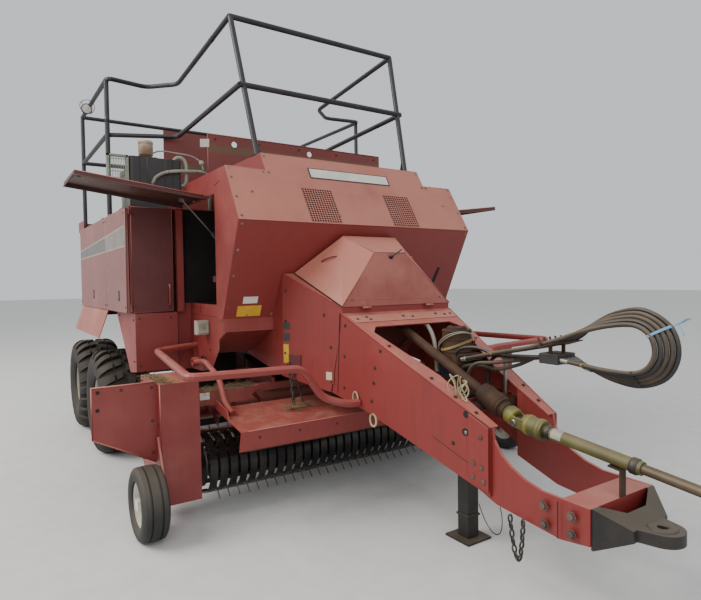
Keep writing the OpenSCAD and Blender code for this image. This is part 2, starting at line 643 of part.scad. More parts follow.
// Twine box: open sheet-metal shell with shelves, a front door opening and two side openings
module twine_box(s) color(red) at_nose() on_side(s) {
    out_y = -box_half + 28;
    t = sheet_t;
    block([-box_rear, -box_inner, box_low_z], [-box_front - 28, -box_inner + t, box_top_z]);
    block([-box_rear, out_y, box_low_z], [-box_front - 28, -box_inner, box_low_z + t]);
    block([-box_rear, out_y, box_top_z - t], [-box_front - 28, -box_inner, box_top_z]);
    block([-box_rear, out_y, box_low_z + t], [-box_rear + t, -box_inner, box_top_z - t]);
    block([-panel_seam - 20, out_y, box_low_z + t], [-panel_seam + 20, -box_inner, box_top_z - t]);
    block([-box_front - 50, out_y, box_low_z + t], [-box_front - 28, out_y + 22, box_top_z - t]);
    shelf_z = box_low_z + 370;
    block([-box_rear + t, out_y + 30, shelf_z], [-panel_seam - 20, -box_inner, shelf_z + t]);
    block([-panel_seam + 20, out_y + 30, shelf_z], [-box_front - 70, -box_inner, shelf_z + t]);
    // Lugs and pins for the front door and the side panels
    for (z = [box_low_z + 15, box_top_z - 27]) {
        block([-box_front - 28, door_axis.y - 6, z], [door_axis.x, door_axis.y + 6, z + 20]);
        translate([door_axis.x, door_axis.y, z + (z < 1600 ? 0 : -30)]) cylinder(r = 6, h = 50);
    }
    for (x = panel_pins) {
        block([x - 15, panel_axis.x - 4, panel_axis.y - 3], [x + 15, out_y, box_top_z]);
        translate([x - 45, panel_axis.x, panel_axis.y]) rotate([0, 90, 0]) cylinder(r = 5, h = 90);
    }
    // Lower skirt under the front of the box, cut back for the wheel, and the flare over the wheels
    side_plate([[-box_front, box_low_z], [-box_front - 640, box_low_z], [-box_front - 190, 806], [-box_front, 830]],
        -skirt_y, t);
    block([-box_front - t, -skirt_y + t, 830], [-box_front, -box_inner - 5, box_low_z]);
    translate([-box_rear + 20, -box_half + 6, box_low_z]) rotate([90, 0, 90]) linear_extrude(1290)
        polygon([[0, 0], [-76, -222], [-71, -225], [t, -t], [26, -t], [26, 0]]);
}

// Vertical-hinged front door of a twine box
module box_door(s) color(dark_red) at_nose() on_side(s) difference() {
    union() {
        block([-box_front - 24, -box_half + 39, box_low_z + 8], [-box_front, -box_inner - 31, box_top_z - 6]);
        for (z = [box_low_z + 35 + seat, box_top_z - 57]) translate([door_axis.x, door_axis.y, z])
            cylinder(r = 11, h = 30 - seat);
    }
    translate([door_axis.x, door_axis.y, box_low_z + 20]) cylinder(r = 6 + fit, h = 46);
    translate([door_axis.x, door_axis.y, box_top_z - 58]) cylinder(r = 6 + fit, h = 46);
}

// Side panel of a twine box, front or rear, hinged along its top edge
module side_panel(s, front) color(red) at_nose() on_side(s) {
    x_a = front ? -panel_seam + 4 : -box_rear;
    x_b = front ? -box_front - 28 : -panel_seam - 4;
    block([x_a, -box_half, box_low_z + 8], [x_b, -box_half + 22, box_top_z - 12]);
    for (x = panel_pins) if (x > x_a && x < x_b) for (d = [-45, 15 + seat]) difference() {
        union() {
            translate([x + d, panel_axis.x, panel_axis.y]) rotate([0, 90, 0]) cylinder(r = 10, h = 30 - seat);
            block([x + d, panel_axis.x - 10, panel_axis.y - 8], [x + d + 30 - seat, panel_axis.x + 8, panel_axis.y]);
        }
        translate([x + d - 1, panel_axis.x, panel_axis.y]) rotate([0, 90, 0]) cylinder(r = 5 + fit, h = 34);
    }
}

// Service lid, drawn closed level from its hinge and swung up by lid_open
module lid(s) color(dark_red) at_nose() on_side(s) translate([0, -lid_hinge_y, lid_hinge_z]) rotate([-lid_open, 0, 0]) {
    x_a = -lid_front - lid_w;
    block([x_a, -lid_len, 0], [-lid_front, -16, 4]);
    block([x_a, -lid_len, -lid_t], [x_a + 4, -16, 0]);
    block([-lid_front - 4, -lid_len, -lid_t], [-lid_front, -16, 0]);
    block([x_a, -lid_len, -lid_t], [-lid_front, -lid_len + 4, 0]);
    translate([x_a + 10, 0, 0]) rotate([0, 90, 0]) cylinder(r = 8, h = lid_w - 20);
    for (x = [-787, -612]) block([x - 60, -40, -3], [x + 60, 0, 3]);
    // Ear for the strut
    difference() {
        block([strut_x - 12 - seat, strut_eye.x - 18, strut_eye.y - 14],
            [strut_x - 6 - seat, strut_eye.x + 18, 0]);
        translate([strut_x, strut_eye.x, strut_eye.y]) rotate([0, 90, 0]) cylinder(r = 5 + fit, h = 60, center = true);
    }
}

// Gas strut: the tube turns on the frame, and the rod ends at the lid's ear
module along_strut(s) at_nose() on_side(s) translate([strut_x, strut_foot.x, strut_foot.y])
    rotate([strut_tilt, 0, 0]) children();
module strut_tube(s) color(black) along_strut(s) difference() {
    union() {
        rotate([0, 90, 0]) cylinder(r = 12, h = 10, center = true);
        translate([0, 0, 8]) cylinder(r = 12, h = strut_tube_len - 8);
    }
    translate([0, 0, 20]) cylinder(r = 5 + fit, h = strut_tube_len);
    rotate([0, 90, 0]) cylinder(r = 5 + fit, h = 30, center = true);
}
module strut_rod(s) color(grey) along_strut(s) difference() {
    union() {
        translate([0, 0, strut_tube_len - 60]) cylinder(r = 5, h = strut_len - strut_tube_len + 60 - 7);
        translate([0, 0, strut_len]) rotate([0, 90, 0]) cylinder(r = 10, h = 12, center = true);
    }
    translate([0, 0, strut_len]) rotate([0, 90, 0]) cylinder(r = 5 + fit, h = 30, center = true);
}

// Walking beams on the axle tube, with their stub axles
module walking_beams() color(dark_red) at_nose() both() {
    translate([beam_pivot_x, -beam_y, beam_pivot_z]) rotate([90, 0, 0]) cylinder(r = 95, h = 90, center = true);
    for (x = axle_xs) {
        hull() {
            translate([beam_pivot_x, -beam_y, beam_pivot_z - 20]) rotate([90, 0, 0])
                cylinder(r = 70, h = 90, center = true, $fn = 32);
            translate([x, -beam_y, axle_z]) rotate([90, 0, 0]) cylinder(r = 60, h = 90, center = true, $fn = 32);
        }
        translate([x, -beam_y - 45, axle_z]) rotate([90, 0, 0]) cylinder(r = 50, h = 40);
        translate([x, -beam_y - 85, axle_z]) rotate([90, 0, 0]) cylinder(r = stub_r, h = 275);
    }
}

// Road wheel k: 0 right front, 1 right rear, 2 left front, 3 left rear
module at_wheel(k) at_nose() on_side(k < 2 ? -1 : 1) translate([axle_xs[k % 2], -track_half, axle_z])
    rotate([90, 0, 0]) children();
module tyre(k) color(black) at_wheel(k) rotate_extrude($fn = 72) polygon([
    [rim_r, -tyre_w * 0.38], [rim_r + 30, -tyre_w * 0.46], [tyre_r - 110, -tyre_w / 2], [tyre_r - 55, -tyre_w * 0.48],
    [tyre_r - 18, -tyre_w * 0.40], [tyre_r, -tyre_w * 0.30], [tyre_r, tyre_w * 0.30], [tyre_r - 18, tyre_w * 0.40],
    [tyre_r - 55, tyre_w * 0.48], [tyre_r - 110, tyre_w / 2], [rim_r + 30, tyre_w * 0.46], [rim_r, tyre_w * 0.38]]);
module rim(k) color("#b9b6ae") at_wheel(k) {
    lip = tyre_w * 0.38;
    rotate_extrude($fn = 72) polygon([[stub_r + fit, -95], [70, -95], [70, 10], [rim_r - 60, 20], [rim_r - 22, 20],
        [rim_r - 12, -lip], [rim_r, -lip], [rim_r, lip], [rim_r - 12, lip], [rim_r - 22, 32], [rim_r - 60, 32],
        [75, 26], [70, 92], [stub_r + fit, 92]]);
}

// Pickup frame: end shields, wing panels, top beam, back sheet and lift arms
shield_in = pickup_half + 20;
module pickup_frame() color(red) at_nose() {
    beam_back = -420;
    plate_y = -shield_in - 12;
    outline = [[-640, 860], [-200, 860], [-190, 400], [-185, 130], [-420, 90], [-640, 300]];
    difference() {
        union() {
            // Cross tube, and the short top beams in front of it with their slanted ends
            block([beam_back - 100, -shield_in, 690], [beam_back - 50, shield_in, 740]);
            both() {
                translate([beam_back - 60, 0, 0]) rotate([90, 0, 90]) linear_extrude(110)
                    polygon([[-shield_in, 660], [-765, 660], [-683, 755], [-shield_in, 755]]);
                // Inner plate of the end shield, reaching back to the auger's end
                side_plate([[-640, 860], [-200, 860], [-190, 400], [-185, 130], [-420, 90], [-640, 300],
                    [-860, 480], [-880, 640], [-800, 700]], plate_y, 12);
                // Folded outer shield
                difference() {
                    side_plate(outline, -1400, 1400 + plate_y);
                    side_plate([[-641, 855], [-205, 855], [-195, 400], [-190, 135], [-425, 95], [-641, 280]],
                        -1395, 1395 + plate_y + 1);
                }
                // Outer wing panel behind the gauge wheel, with its top flange
                translate([-260, 0, 0]) rotate([90, 0, 90]) linear_extrude(5)
                    polygon([[-1400, 870], [-1760, 870], [-1760, 575], [-1400, 385]]);
                block([-300, -1760, 865], [-255, -1400, 870]);
                // Beam that the stripper bands end on
                block([-640, -shield_in, 395], [-600 - seat, 0, 435]);
                // Gauge wheel arm and axle
                side_plate([[-330, 520], [-230, 545], [-60, 225], [-100, 165], [-150, 200]], -1412, 12);
                translate([-gauge_back, -1401, gauge_r]) rotate([90, 0, 0]) cylinder(r = 15, h = 160);
                // Lift arm to its pin
                side_plate([[-475, 775], [-475, 715], [-930, 715], [-lift_back - 40, lift_z - 45],
                    [-lift_back - 55, lift_z], [-lift_back - 20, lift_z + 55], [-930, 790]], -rail_y - 80, 22);
                translate([-lift_back, -rail_y - 50 - gap, lift_z]) rotate([90, 0, 0]) cylinder(r = 45, h = 28);
            }
        }
        both() translate([-lift_back, -rail_y - 50, lift_z]) rotate([90, 0, 0])
            cylinder(r = lift_pin_r + fit, h = 70);
        // Bores for the reel and the auger
        for (p = [[-reel_back, reel_z], [auger_x, auger_z]]) translate([p.x, 0, p.y]) rotate([90, 0, 0])
            cylinder(r = 25 + fit, h = 2 * shield_in + 60, center = true);
    }
}

// Stripper bands: C-shaped strips over the reel that run back to the beam
band_w = tine_pitch - 17.5;
band_count = floor(2 * pickup_half / tine_pitch);
module stripper_bands() color(black) at_nose() for (i = [0 : band_count - 1]) {
    y = (i - (band_count - 1) / 2) * tine_pitch;
    translate([-reel_back, y + band_w / 2, reel_z]) rotate([90, 0, 0]) linear_extrude(band_w) {
        difference() {
            circle(r = band_r);
            circle(r = band_r - 5);
            polygon([[0, 0], [-400, 400], [-400, -400], [-60, -400]]);
        }
        translate([-255, band_r * sin(45) - 5]) square([255 - band_r * cos(45) + 3, 5]);
    }
}

// Reel: tube, end discs, four tine bars and rows of tines
module tine_reel() color(grey) at_nose() translate([-reel_back, 0, reel_z]) {
    rotate([90, 0, 0]) cylinder(r = 40, h = 2 * pickup_half - 30, center = true);
    rotate([90, 0, 0]) cylinder(r = 25, h = 2 * pickup_half + 60, center = true);
    for (y = [-pickup_half + 18, 0, pickup_half - 26]) translate([0, y + 8, 0]) rotate([90, 0, 0])
        cylinder(r = bar_circle_r + 16, h = 8);
    for (k = [0 : 3]) rotate([0, 45 + 90 * k, 0]) {
        translate([bar_circle_r, 0, 0]) rotate([90, 0, 0]) cylinder(r = 14, h = 2 * pickup_half - 30, center = true);
        for (i = [0 : band_count - 2]) {
            y = (i - (band_count - 2) / 2) * tine_pitch;
            translate([bar_circle_r, y, 0]) rotate([0, 90, 0]) cylinder(r = tine_r, h = tine_tip_r - bar_circle_r, $fn = 6);
        }
    }
}

// Centring auger behind the reel
module auger() color(red) at_nose() translate([auger_x, 0, auger_z]) {
    rotate([90, 0, 0]) cylinder(r = 80, h = 2 * (shield_in - 14), center = true);
    rotate([90, 0, 0]) cylinder(r = 25, h = 2 * shield_in + 20, center = true);
    for (s = [-1, 1]) for (start = [0, 180]) flight(s, start);
}

// A helical flight on the auger tube, from its end inwards
module flight(s, start) {
    steps = 24;
    polyhedron([for (i = [0 : steps]) let (a = start + s * 540 * i / steps, y = s * (shield_in - 25 - 600 * i / steps))
            for (c = [[82, -4], [145, -4], [145, 4], [82, 4]]) [c.x * cos(a), y + s * c.y, c.x * sin(a)]],
        concat([[0, 1, 2, 3]], [[for (k = [3 : -1 : 0]) steps * 4 + k]],
            [for (i = [0 : steps - 1]) for (k = [0 : 3]) [i * 4 + k, (i + 1) * 4 + k, (i + 1) * 4 + (k + 1) % 4,
                i * 4 + (k + 1) % 4]]));
}

module windguard() color(red) at_nose() {
    translate([0, windguard_half, 0]) rotate([90, 0, 0]) linear_extrude(2 * windguard_half)
        polygon([[-217, 664], [182, 599], [151, 481], [156, 480], [189, 603], [-216, 669]]);
    both() {
        tube([[wg_hinge.x + 25, -arm_y, wg_hinge.y], [-545, -arm_y, 925], [-284, -arm_y, 847], [-190, -arm_y, 700],
            [-60, -arm_y, 660]], 19, 50);
        side_plate([[-217, 664], [0, 628], [-40, 690], [-217, 720]], -windguard_half, 8);
        translate([wg_hinge.x, -arm_y, wg_hinge.y]) rotate([90, 0, 0]) difference() {
            cylinder(r = 32, h = 40, center = true);
            cylinder(r = 15 + fit, h = 50, center = true);
        }
    }
}

// Gauge wheel beside the pickup
module at_gauge(s) at_nose() on_side(s) translate([-gauge_back, -gauge_half, gauge_r]) rotate([90, 0, 0]) children();
module gauge_tyre(s) color(black) at_gauge(s) rotate_extrude($fn = 64) polygon([[125, -55], [145, -gauge_w / 2],
    [gauge_r - 25, -gauge_w / 2], [gauge_r, -45], [gauge_r, 45], [gauge_r - 25, gauge_w / 2], [145, gauge_w / 2], [125, 55]]);
module gauge_rim(s) color("#d8d5cc") at_gauge(s) rotate_extrude($fn = 64) polygon([[15 + fit, -50], [32, -50],
    [32, 0], [108, 8], [117, -55], [125, -55], [125, 55], [117, 55], [108, 16], [32, 10], [32, 50], [15 + fit, 50]]);

module feeder() color(dark_red) at_nose() {
    half = 395;
    floor_line = [[-1000, 420], [-1250, 380], [-1900, 640], [-2050, chamber_z - seat]];
    both() side_plate(concat(floor_line, [[-1600, chamber_z - seat], [-1500, 860], [-1000, 760]]), -half, 8);
    translate([0, half - 8, 0]) rotate([90, 0, 0]) linear_extrude(2 * half - 16) polygon([[-1000, 412], [-1250, 372],
        [-1908, 634], [-2058, chamber_z - seat], [-2050, chamber_z - seat], [-1900, 640], [-1250, 380], [-1000, 420]]);
    // Straps up to the frame rails
    both() for (x = [-1500, -2000]) block([x - 30, -rail_y, rail_low - 160], [x + 30, -half, rail_low - seat]);
}

module guard_rails() color(red) at_nose() both() {
    side = -hood_half + 25;
    end_x = 455;
    end_y = -tongue_half(end_x - guard_r) - seat;
    tube([[-900, side - seat, 1000], [-900, side - 60, 1000], [-850, -1240, guard_z], [400, -1410, guard_z],
        [400, -767, 970], [400, -634, 785], [end_x, -500, 740], [end_x, end_y, 740]], guard_r, 55);
}

// Handrails round the service deck
module handrails() color(rail_blue) at_nose() {
    for (s = [-1, 1]) on_side(s) {
        tube([[-675, -720, rail_top_z], [-1900, -730, 3240], [-2120, -950, 3240], [-2000, -1300, 3220],
            [-3350, -1300, 3220]], rail_r);
        tube([[-530, -710, 2840], [-1930, -730, 2780], [-2070, -1300, 2755], [-3350, -1300, 2740]], rail_r);
        bar([-400, -650, crown_z + 5.5], [-675, -715, rail_top_z], rail_r);
        bar([-2050, -1300, box_top_z], [-2050, -1300, 3220], rail_r);
        bar([-3350, -1300, box_top_z + 5], [-3350, -1300, 3220], rail_r);
    }
    for (p = [[-675, 720, rail_top_z], [-530, 710, 2840], [-3350, 1300, 3220], [-3350, 1300, 2740]])
        bar([p.x, -p.y, p.z], p, rail_r);
}

module deck() color(dark_red) at_nose() {
    edge = box_inner - sheet_t - seat;
    block([-2200, -edge, box_top_z], [-1010, edge, box_top_z + 5]);
    both() {
        block([-3400, -edge, box_top_z], [-2200, -520, box_top_z + 5]);
        block([-3400, -1360, box_top_z + seat], [-2900, -edge, box_top_z + 5]);
        block([-3400, -edge, box_top_z - 50], [-1010, -edge + 5, box_top_z]);
        block([-3400, -1360, box_top_z + 5], [-3395, -520, box_top_z + 100]);
        block([-3400, -1360, box_top_z + 5], [-3060, -1355, box_top_z + 100]);
        for (x = [-1155, -2475]) block([x, -edge + 5, box_top_z - 50], [x + 50, -chamber_half - 75 - seat, box_top_z]);
    }
    // Upright shield with two holes
    difference() {
        block([-1180, -720, box_top_z + 5], [-1174, 960, 2640]);
        for (y = [-500, 200]) translate([-1177, y, 2580]) rotate([0, 90, 0]) cylinder(r = 25, h = 40, center = true);
    }
    block([-2000, -840, box_top_z + 5], [-1994, -420, 2840]);
}

// Knotter stack across the chamber: a base, six knotter frames with their discs and the shaft through them
module knotters() color(grey) at_nose() {
    stack_x = -2400;
    low = chamber_top + chamber_t;
    disc = [stack_x + 60, box_top_z + 240];
    block([stack_x - 130, -chamber_half - 10, low], [stack_x + 110, chamber_half + 10, low + 60]);
    for (k = [0 : 5]) translate([0, (k - 2.5) * chamber_w / 6, 0]) {
        block([stack_x - 90, -28, low + 50], [stack_x + 80, 28, disc.y]);
        translate([disc.x, 0, disc.y]) rotate([90, 0, 0]) cylinder(r = 90, h = 26, center = true);
    }
    translate([disc.x, 0, disc.y]) rotate([90, 0, 0]) cylinder(r = 28, h = chamber_w + 40, center = true);
}

// Black tank with rounded edges and upright seams, on its stand
module cooler() color(black) at_nose() {
    low = [-1300, -1330, box_top_z + 140];
    high = [-1120, -950, box_top_z + 385];
    edge = 24;
    difference() {
        hull() for (x = [low.x + edge, high.x - edge]) for (y = [low.y + edge, high.y - edge])
            translate([x, y, low.z]) cylinder(r = edge, h = high.z - low.z, $fn = 32);
        for (y = [low.y + 70, high.y - 70]) block([high.x - 4, y - 3, low.z - 1], [high.x + 1, y + 3, high.z + 1]);
    }
    block([-1290, -1330, box_top_z], [-1130, -1060, box_top_z + 140]);
}

module bale_chute() color(red) at_nose() {
    h = chute_hinge;
    end_x = -rear_reach;
    both() block([end_x, -chamber_half - 20, h.y - 40], [h.x, -chamber_half + 20, h.y + 36]);
    for (x = [end_x + 20, (end_x + h.x) / 2]) block([x - 15, -chamber_half + 15, h.y - 38],
        [x + 15, chamber_half - 15, h.y - 10]);
    for (x = [end_x + 60 : 110 : h.x - 40]) translate([x, 0, h.y + 2]) rotate([90, 0, 0])
        cylinder(r = 28, h = 2 * chamber_half - 24, center = true);
    translate([h.x, 0, h.y]) rotate([90, 0, 0]) cylinder(r = 22, h = 2 * chamber_half + 144, center = true);
}

// Lamps: the square front lamps and the tail lamps
module lamps() color("#e6e1d6") at_nose() both() {
    block([-700, -hood_half - 58, 1100], [-640, -hood_half + 25 - seat, 1197]);
    block([-box_rear - 30, -1300, 1500], [-box_rear, -1180, 1600]);
}

frame();
chamber();
tension_rails();
tongue();
hitch();
jack();
brackets();
hood();
flywheel_cover();
flywheel();
gearbox();
drive_shaft();
pto_tube();
pto_tip();
twine_box(-1);  // twine_box_r
twine_box(1);  // twine_box_l
box_door(-1);  // box_door_r
box_door(1);  // box_door_l
side_panel(-1, true);  // panel_rf
side_panel(-1, false);  // panel_rr
side_panel(1, true);  // panel_lf
side_panel(1, false);  // panel_lr
lid(-1);  // lid_r
lid(1);  // lid_l
strut_tube(-1);  // strut_tube_r
strut_tube(1);  // strut_tube_l
strut_rod(-1);  // strut_rod_r
strut_rod(1);  // strut_rod_l
walking_beams();
tyre(0);  // tyre_rf
tyre(1);  // tyre_rr
tyre(2);  // tyre_lf
tyre(3);  // tyre_lr
rim(0);  // rim_rf
rim(1);  // rim_rr
rim(2);  // rim_lf
rim(3);  // rim_lr
pickup_frame();
stripper_bands();
tine_reel();
auger();
windguard();
gauge_tyre(-1);  // gauge_tyre_r
gauge_tyre(1);  // gauge_tyre_l
gauge_rim(-1);  // gauge_rim_r
gauge_rim(1);  // gauge_rim_l
feeder();
guard_rails();
handrails();
deck();
knotters();
cooler();
bale_chute();
lamps();
canister();
hose(0);  // hose_1
hose(1);  // hose_2
hose(2);  // hose_3
hose(3);  // hose_4
hose(4);  // hose_5
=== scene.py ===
# %% [markdown]
# A large square baler stands on its jack with both service lids swung open. Its solid parts come from
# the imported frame, and this notebook dresses them: paint that has faded in the sun, lugged tyres,
# bolts, perforated vents, hoses and chains. Each step says what the real piece is and how it is made.

# %% Load the frame
import math

import bmesh
import bpy
import numpy as np
from mathutils import Matrix


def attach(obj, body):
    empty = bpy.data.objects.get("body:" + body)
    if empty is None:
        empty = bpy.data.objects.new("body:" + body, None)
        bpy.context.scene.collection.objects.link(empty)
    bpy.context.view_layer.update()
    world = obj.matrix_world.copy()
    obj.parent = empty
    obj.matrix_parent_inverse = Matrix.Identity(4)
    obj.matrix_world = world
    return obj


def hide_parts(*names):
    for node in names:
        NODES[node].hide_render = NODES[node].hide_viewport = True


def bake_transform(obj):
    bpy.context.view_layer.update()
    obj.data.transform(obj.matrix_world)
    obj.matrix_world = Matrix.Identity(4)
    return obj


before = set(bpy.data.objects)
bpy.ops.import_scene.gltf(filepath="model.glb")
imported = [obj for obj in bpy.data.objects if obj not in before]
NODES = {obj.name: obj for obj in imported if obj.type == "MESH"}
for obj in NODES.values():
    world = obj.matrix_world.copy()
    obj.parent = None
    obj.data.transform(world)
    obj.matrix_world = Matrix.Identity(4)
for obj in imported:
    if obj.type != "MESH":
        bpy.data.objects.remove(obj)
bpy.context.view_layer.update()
# Stations are counted from the nose of the hood, which lies this far ahead of the origin (metres).
NOSE = 1.46
rng = np.random.default_rng(7)


def at(x, y, z):
    """A point given by its station ahead of the nose, in the row frame."""
    return np.array([x + NOSE, y, z], float)


def unit(vectors):
    """Vectors divided by their own lengths."""
    vectors = np.asarray(vectors, float)
    return vectors / np.linalg.norm(vectors, axis=-1, keepdims=True)


def stand(made, axes, place):
    """Links an object and sets it at a place, with its X, Y and Z along three unit axes."""
    bpy.context.scene.collection.objects.link(made)
    pose = np.eye(4)
    pose[:3, :3] = np.array(axes).T
    pose[:3, 3] = place
    made.matrix_world = Matrix(pose.tolist())


# %% [markdown]
# The photographer stood ahead of the machine's right front corner, a little under the height of the
# nose fold. The camera is set by where it stands and by its yaw, pitch and roll, because those three
# turns can each be read off the picture: which sides show, where the horizon lies, and how it leans.

# %% Camera
CAMERA_AT = at(3.173, -2.274, 1.46)
YAW, PITCH, ROLL = (math.radians(a) for a in (33.61, -1.96, -0.80))
FOCAL_MM, SENSOR_MM = 28.77, 36.0


def camera_axes(yaw, pitch, roll):
    """Right, up and backward directions: the view direction from yaw and pitch, then a turn by roll."""
    ahead = np.array([-math.cos(yaw) * math.cos(pitch), math.sin(yaw) * math.cos(pitch), math.sin(pitch)])
    level = np.array([math.sin(yaw), math.cos(yaw), 0.0])
    above = np.cross(level, ahead)
    right = level * math.cos(roll) + above * math.sin(roll)
    up = above * math.cos(roll) - level * math.sin(roll)
    return right, up, -ahead


camera = bpy.data.objects.new("camera", bpy.data.cameras.new("camera"))
camera.data.sensor_width = SENSOR_MM
camera.data.lens = FOCAL_MM
camera.data.clip_end = 200.0
stand(camera, camera_axes(YAW, PITCH, ROLL), CAMERA_AT)
bpy.context.scene.camera = camera

# %% [markdown]
# The day was overcast, with a brighter sky behind the machine's right side, so the upper faces look
# bleached and the front faces stay deep. A bright, even world does most of the work, and two large
# soft lamps add the direction: a key high on the right and a weak fill from the front.

# %% Studio light


def soft_lamp(name, place, target, size, power, tint):
    """A square area lamp at place, turned so that it faces target."""
    lamp = bpy.data.lights.new(name, "AREA")
    lamp.shape, lamp.size, lamp.energy, lamp.color = "SQUARE", size, power, tint
    back = unit(np.subtract(place, target))
    side = unit(np.cross([0, 0, 1], back))
    stand(bpy.data.objects.new(name, lamp), [side, np.cross(back, side), back], place)


soft_lamp("key", (-1.5, -9.0, 8.5), (0, 0, 1.2), 7.0, 1250, (1.0, 0.97, 0.93))
soft_lamp("fill", (9.0, -3.5, 5.5), (0.5, 0, 1.0), 6.0, 270, (0.93, 0.96, 1.0))
world = bpy.data.worlds.new("studio")
world.use_nodes = True
world.node_tree.nodes["Background"].inputs["Color"].default_value = (0.86, 0.89, 0.93, 1)
world.node_tree.nodes["Background"].inputs["Strength"].default_value = 0.85
bpy.context.scene.world = world

# %% [markdown]
# Every surface gets a material built from nodes on Object coordinates, which are metres here, so the
# scale of a pattern is one over its real size. One small function adds a node, sets it and links it;
# colours are written as the sRGB hex value that the eye reads, and one function turns them linear.

# %% Material helpers


def linear(hex_colour):
    """sRGB hex to linear RGBA: a power curve above a short straight toe."""
    part = np.array([int(hex_colour[i:i + 2], 16) for i in (1, 3, 5)]) / 255
    part = np.where(part <= 0.04045, part / 12.92, ((part + 0.055) / 1.055) ** 2.4)
    return (*part.tolist(), 1.0)


def put(tree, kind, inputs=None, **settings):
    """Adds one node: settings are its attributes, and inputs are values or sockets to link."""
    made = tree.nodes.new(kind)
    for key, value in settings.items():
        setattr(made, key, value)
    for key, value in (inputs or {}).items():
        if isinstance(value, bpy.types.NodeSocket):
            tree.links.new(value, made.inputs[key])
        else:
            made.inputs[key].default_value = value
    return made


def start_material(name):
    """An empty material with its shader and output; returns the material, tree, shader and coordinates."""
    material = bpy.data.materials.new(name)
    material.use_nodes = True
    tree = material.node_tree
    tree.nodes.clear()
    shader = put(tree, "ShaderNodeBsdfPrincipled")
    put(tree, "ShaderNodeOutputMaterial", {"Surface": shader.outputs["BSDF"]})
    return material, tree, shader, put(tree, "ShaderNodeTexCoord")


def band(tree, value, low, high):
    """A smooth 0 to 1 step of a value between low and high."""
    return put(tree, "ShaderNodeMapRange", {"Value": value, "From Min": low, "From Max": high},
               interpolation_type="SMOOTHSTEP").outputs["Result"]


def blend_colour(tree, share, first, second):
    """Mixes two colours, each a hex string or a socket, by a share from 0 to 1."""
    sides = [linear(c) if isinstance(c, str) else c for c in (first, second)]
    return put(tree, "ShaderNodeMix", {0: share, 6: sides[0], 7: sides[1]}, data_type="RGBA").outputs[2]


def roughen(tree, shader, value, low, high):
    """Sets the shader's roughness from a pattern, between low and high."""
    spread = put(tree, "ShaderNodeMapRange", {"Value": value, "To Min": low, "To Max": high})
    tree.links.new(spread.outputs["Result"], shader.inputs["Roughness"])


# %% [markdown]
# The body is baked enamel over steel sheet, twenty summers old. Real paint like this chalks where
# the sun hits, so faces that look up fade towards salmon while the ones that look down stay dark red,
# and the same blend paints light on the upper faces and shade on the lower ones. The share of fading
# and painted light comes from the object-space normal, broken up by broad noise. Over that lie
# rain streaks (noise stretched along Z), fine grime, and small chips down to primer and rust.

# %% Faded enamel


def enamel(name, fresh, faded, grime, chips=0.5, gloss=0.42, streak=0.35, dust="#b39c84", dust_share=0.22):
    """Weathered paint: fresh to faded, with painted light and shade, by upward slope; streaks, dust, grime,
    rust chips.
    """
    material, tree, shader, coords = start_material(name)
    place = coords.outputs["Object"]
    upward = put(tree, "ShaderNodeSeparateXYZ", {"Vector": coords.outputs["Normal"]}).outputs["Z"]
    # Noise at three scales: fading over the whole body, dust patches of about 80 mm, chips of 4 to 15 mm
    broad, patch, speck = (
        put(tree, "ShaderNodeTexNoise",
            {"Vector": place, "Scale": scale, "Detail": detail, "Roughness": rough}).outputs["Fac"]
        for scale, detail, rough in ((1.6, 4.0, 0.6), (12.0, 8.0, 0.7), (75.0, 5.0, 0.75)))
    # Faces that look up fade and take painted light; faces that look down keep the fresh red as painted shade
    fade_and_light = put(tree, "ShaderNodeMath", {0: upward, 1: broad}, operation="ADD").outputs[0]
    colour = blend_colour(tree, band(tree, fade_and_light, 0.42, 1.12), fresh, faded)
    # Rain streaks are about 30 mm apart and ten times as long
    run = put(tree, "ShaderNodeMapping", {"Vector": place, "Scale": (30.0, 30.0, 2.4)})
    streaks = put(tree, "ShaderNodeTexNoise", {"Vector": run.outputs[0], "Scale": 1.0, "Detail": 3.0})
    steep = put(tree, "ShaderNodeMapRange", {"Value": upward, "From Min": 0.1, "From Max": 0.5,
                                             "To Min": streak, "To Max": streak * 0.15})
    share = put(tree, "ShaderNodeMath", {0: band(tree, streaks.outputs["Fac"], 0.5, 0.78),
                                         1: steep.outputs["Result"]}, operation="MULTIPLY").outputs[0]
    colour = blend_colour(tree, share, colour, grime)
    # Chaff dust settles on level faces
    settled = put(tree, "ShaderNodeMath", {0: band(tree, upward, 0.55, 1.0),
                                           1: band(tree, patch, 0.42, 0.68)}, operation="MULTIPLY").outputs[0]
    laid = put(tree, "ShaderNodeMath", {0: settled, 1: dust_share}, operation="MULTIPLY").outputs[0]
    colour = blend_colour(tree, laid, colour, dust)
    # Chips gather where the broad noise is high
    bare = put(tree, "ShaderNodeMath", {0: speck, 1: broad}, operation="MULTIPLY").outputs[0]
    bared = put(tree, "ShaderNodeMath", {0: band(tree, bare, 0.405, 0.43), 1: chips},
                operation="MULTIPLY").outputs[0]
    tree.links.new(blend_colour(tree, bared, colour, "#4a3329"), shader.inputs["Base Color"])
    roughen(tree, shader, patch, gloss - 0.08, gloss + 0.25)
    dents = put(tree, "ShaderNodeBump", {"Height": broad, "Strength": 0.25, "Distance": 0.02})
    fine = put(tree, "ShaderNodeBump", {"Height": speck, "Strength": 0.12, "Distance": 0.002,
                                        "Normal": dents.outputs[0]})
    tree.links.new(fine.outputs[0], shader.inputs["Normal"])
    shader.inputs["Coat Weight"].default_value = 0.12
    shader.inputs["Coat Roughness"].default_value = 0.3
    return material


# %% [markdown]
# A stain is a soft band of another colour between two heights, with a ragged edge from noise. It goes
# between a finished enamel's colour and its shader.

# %% Stains


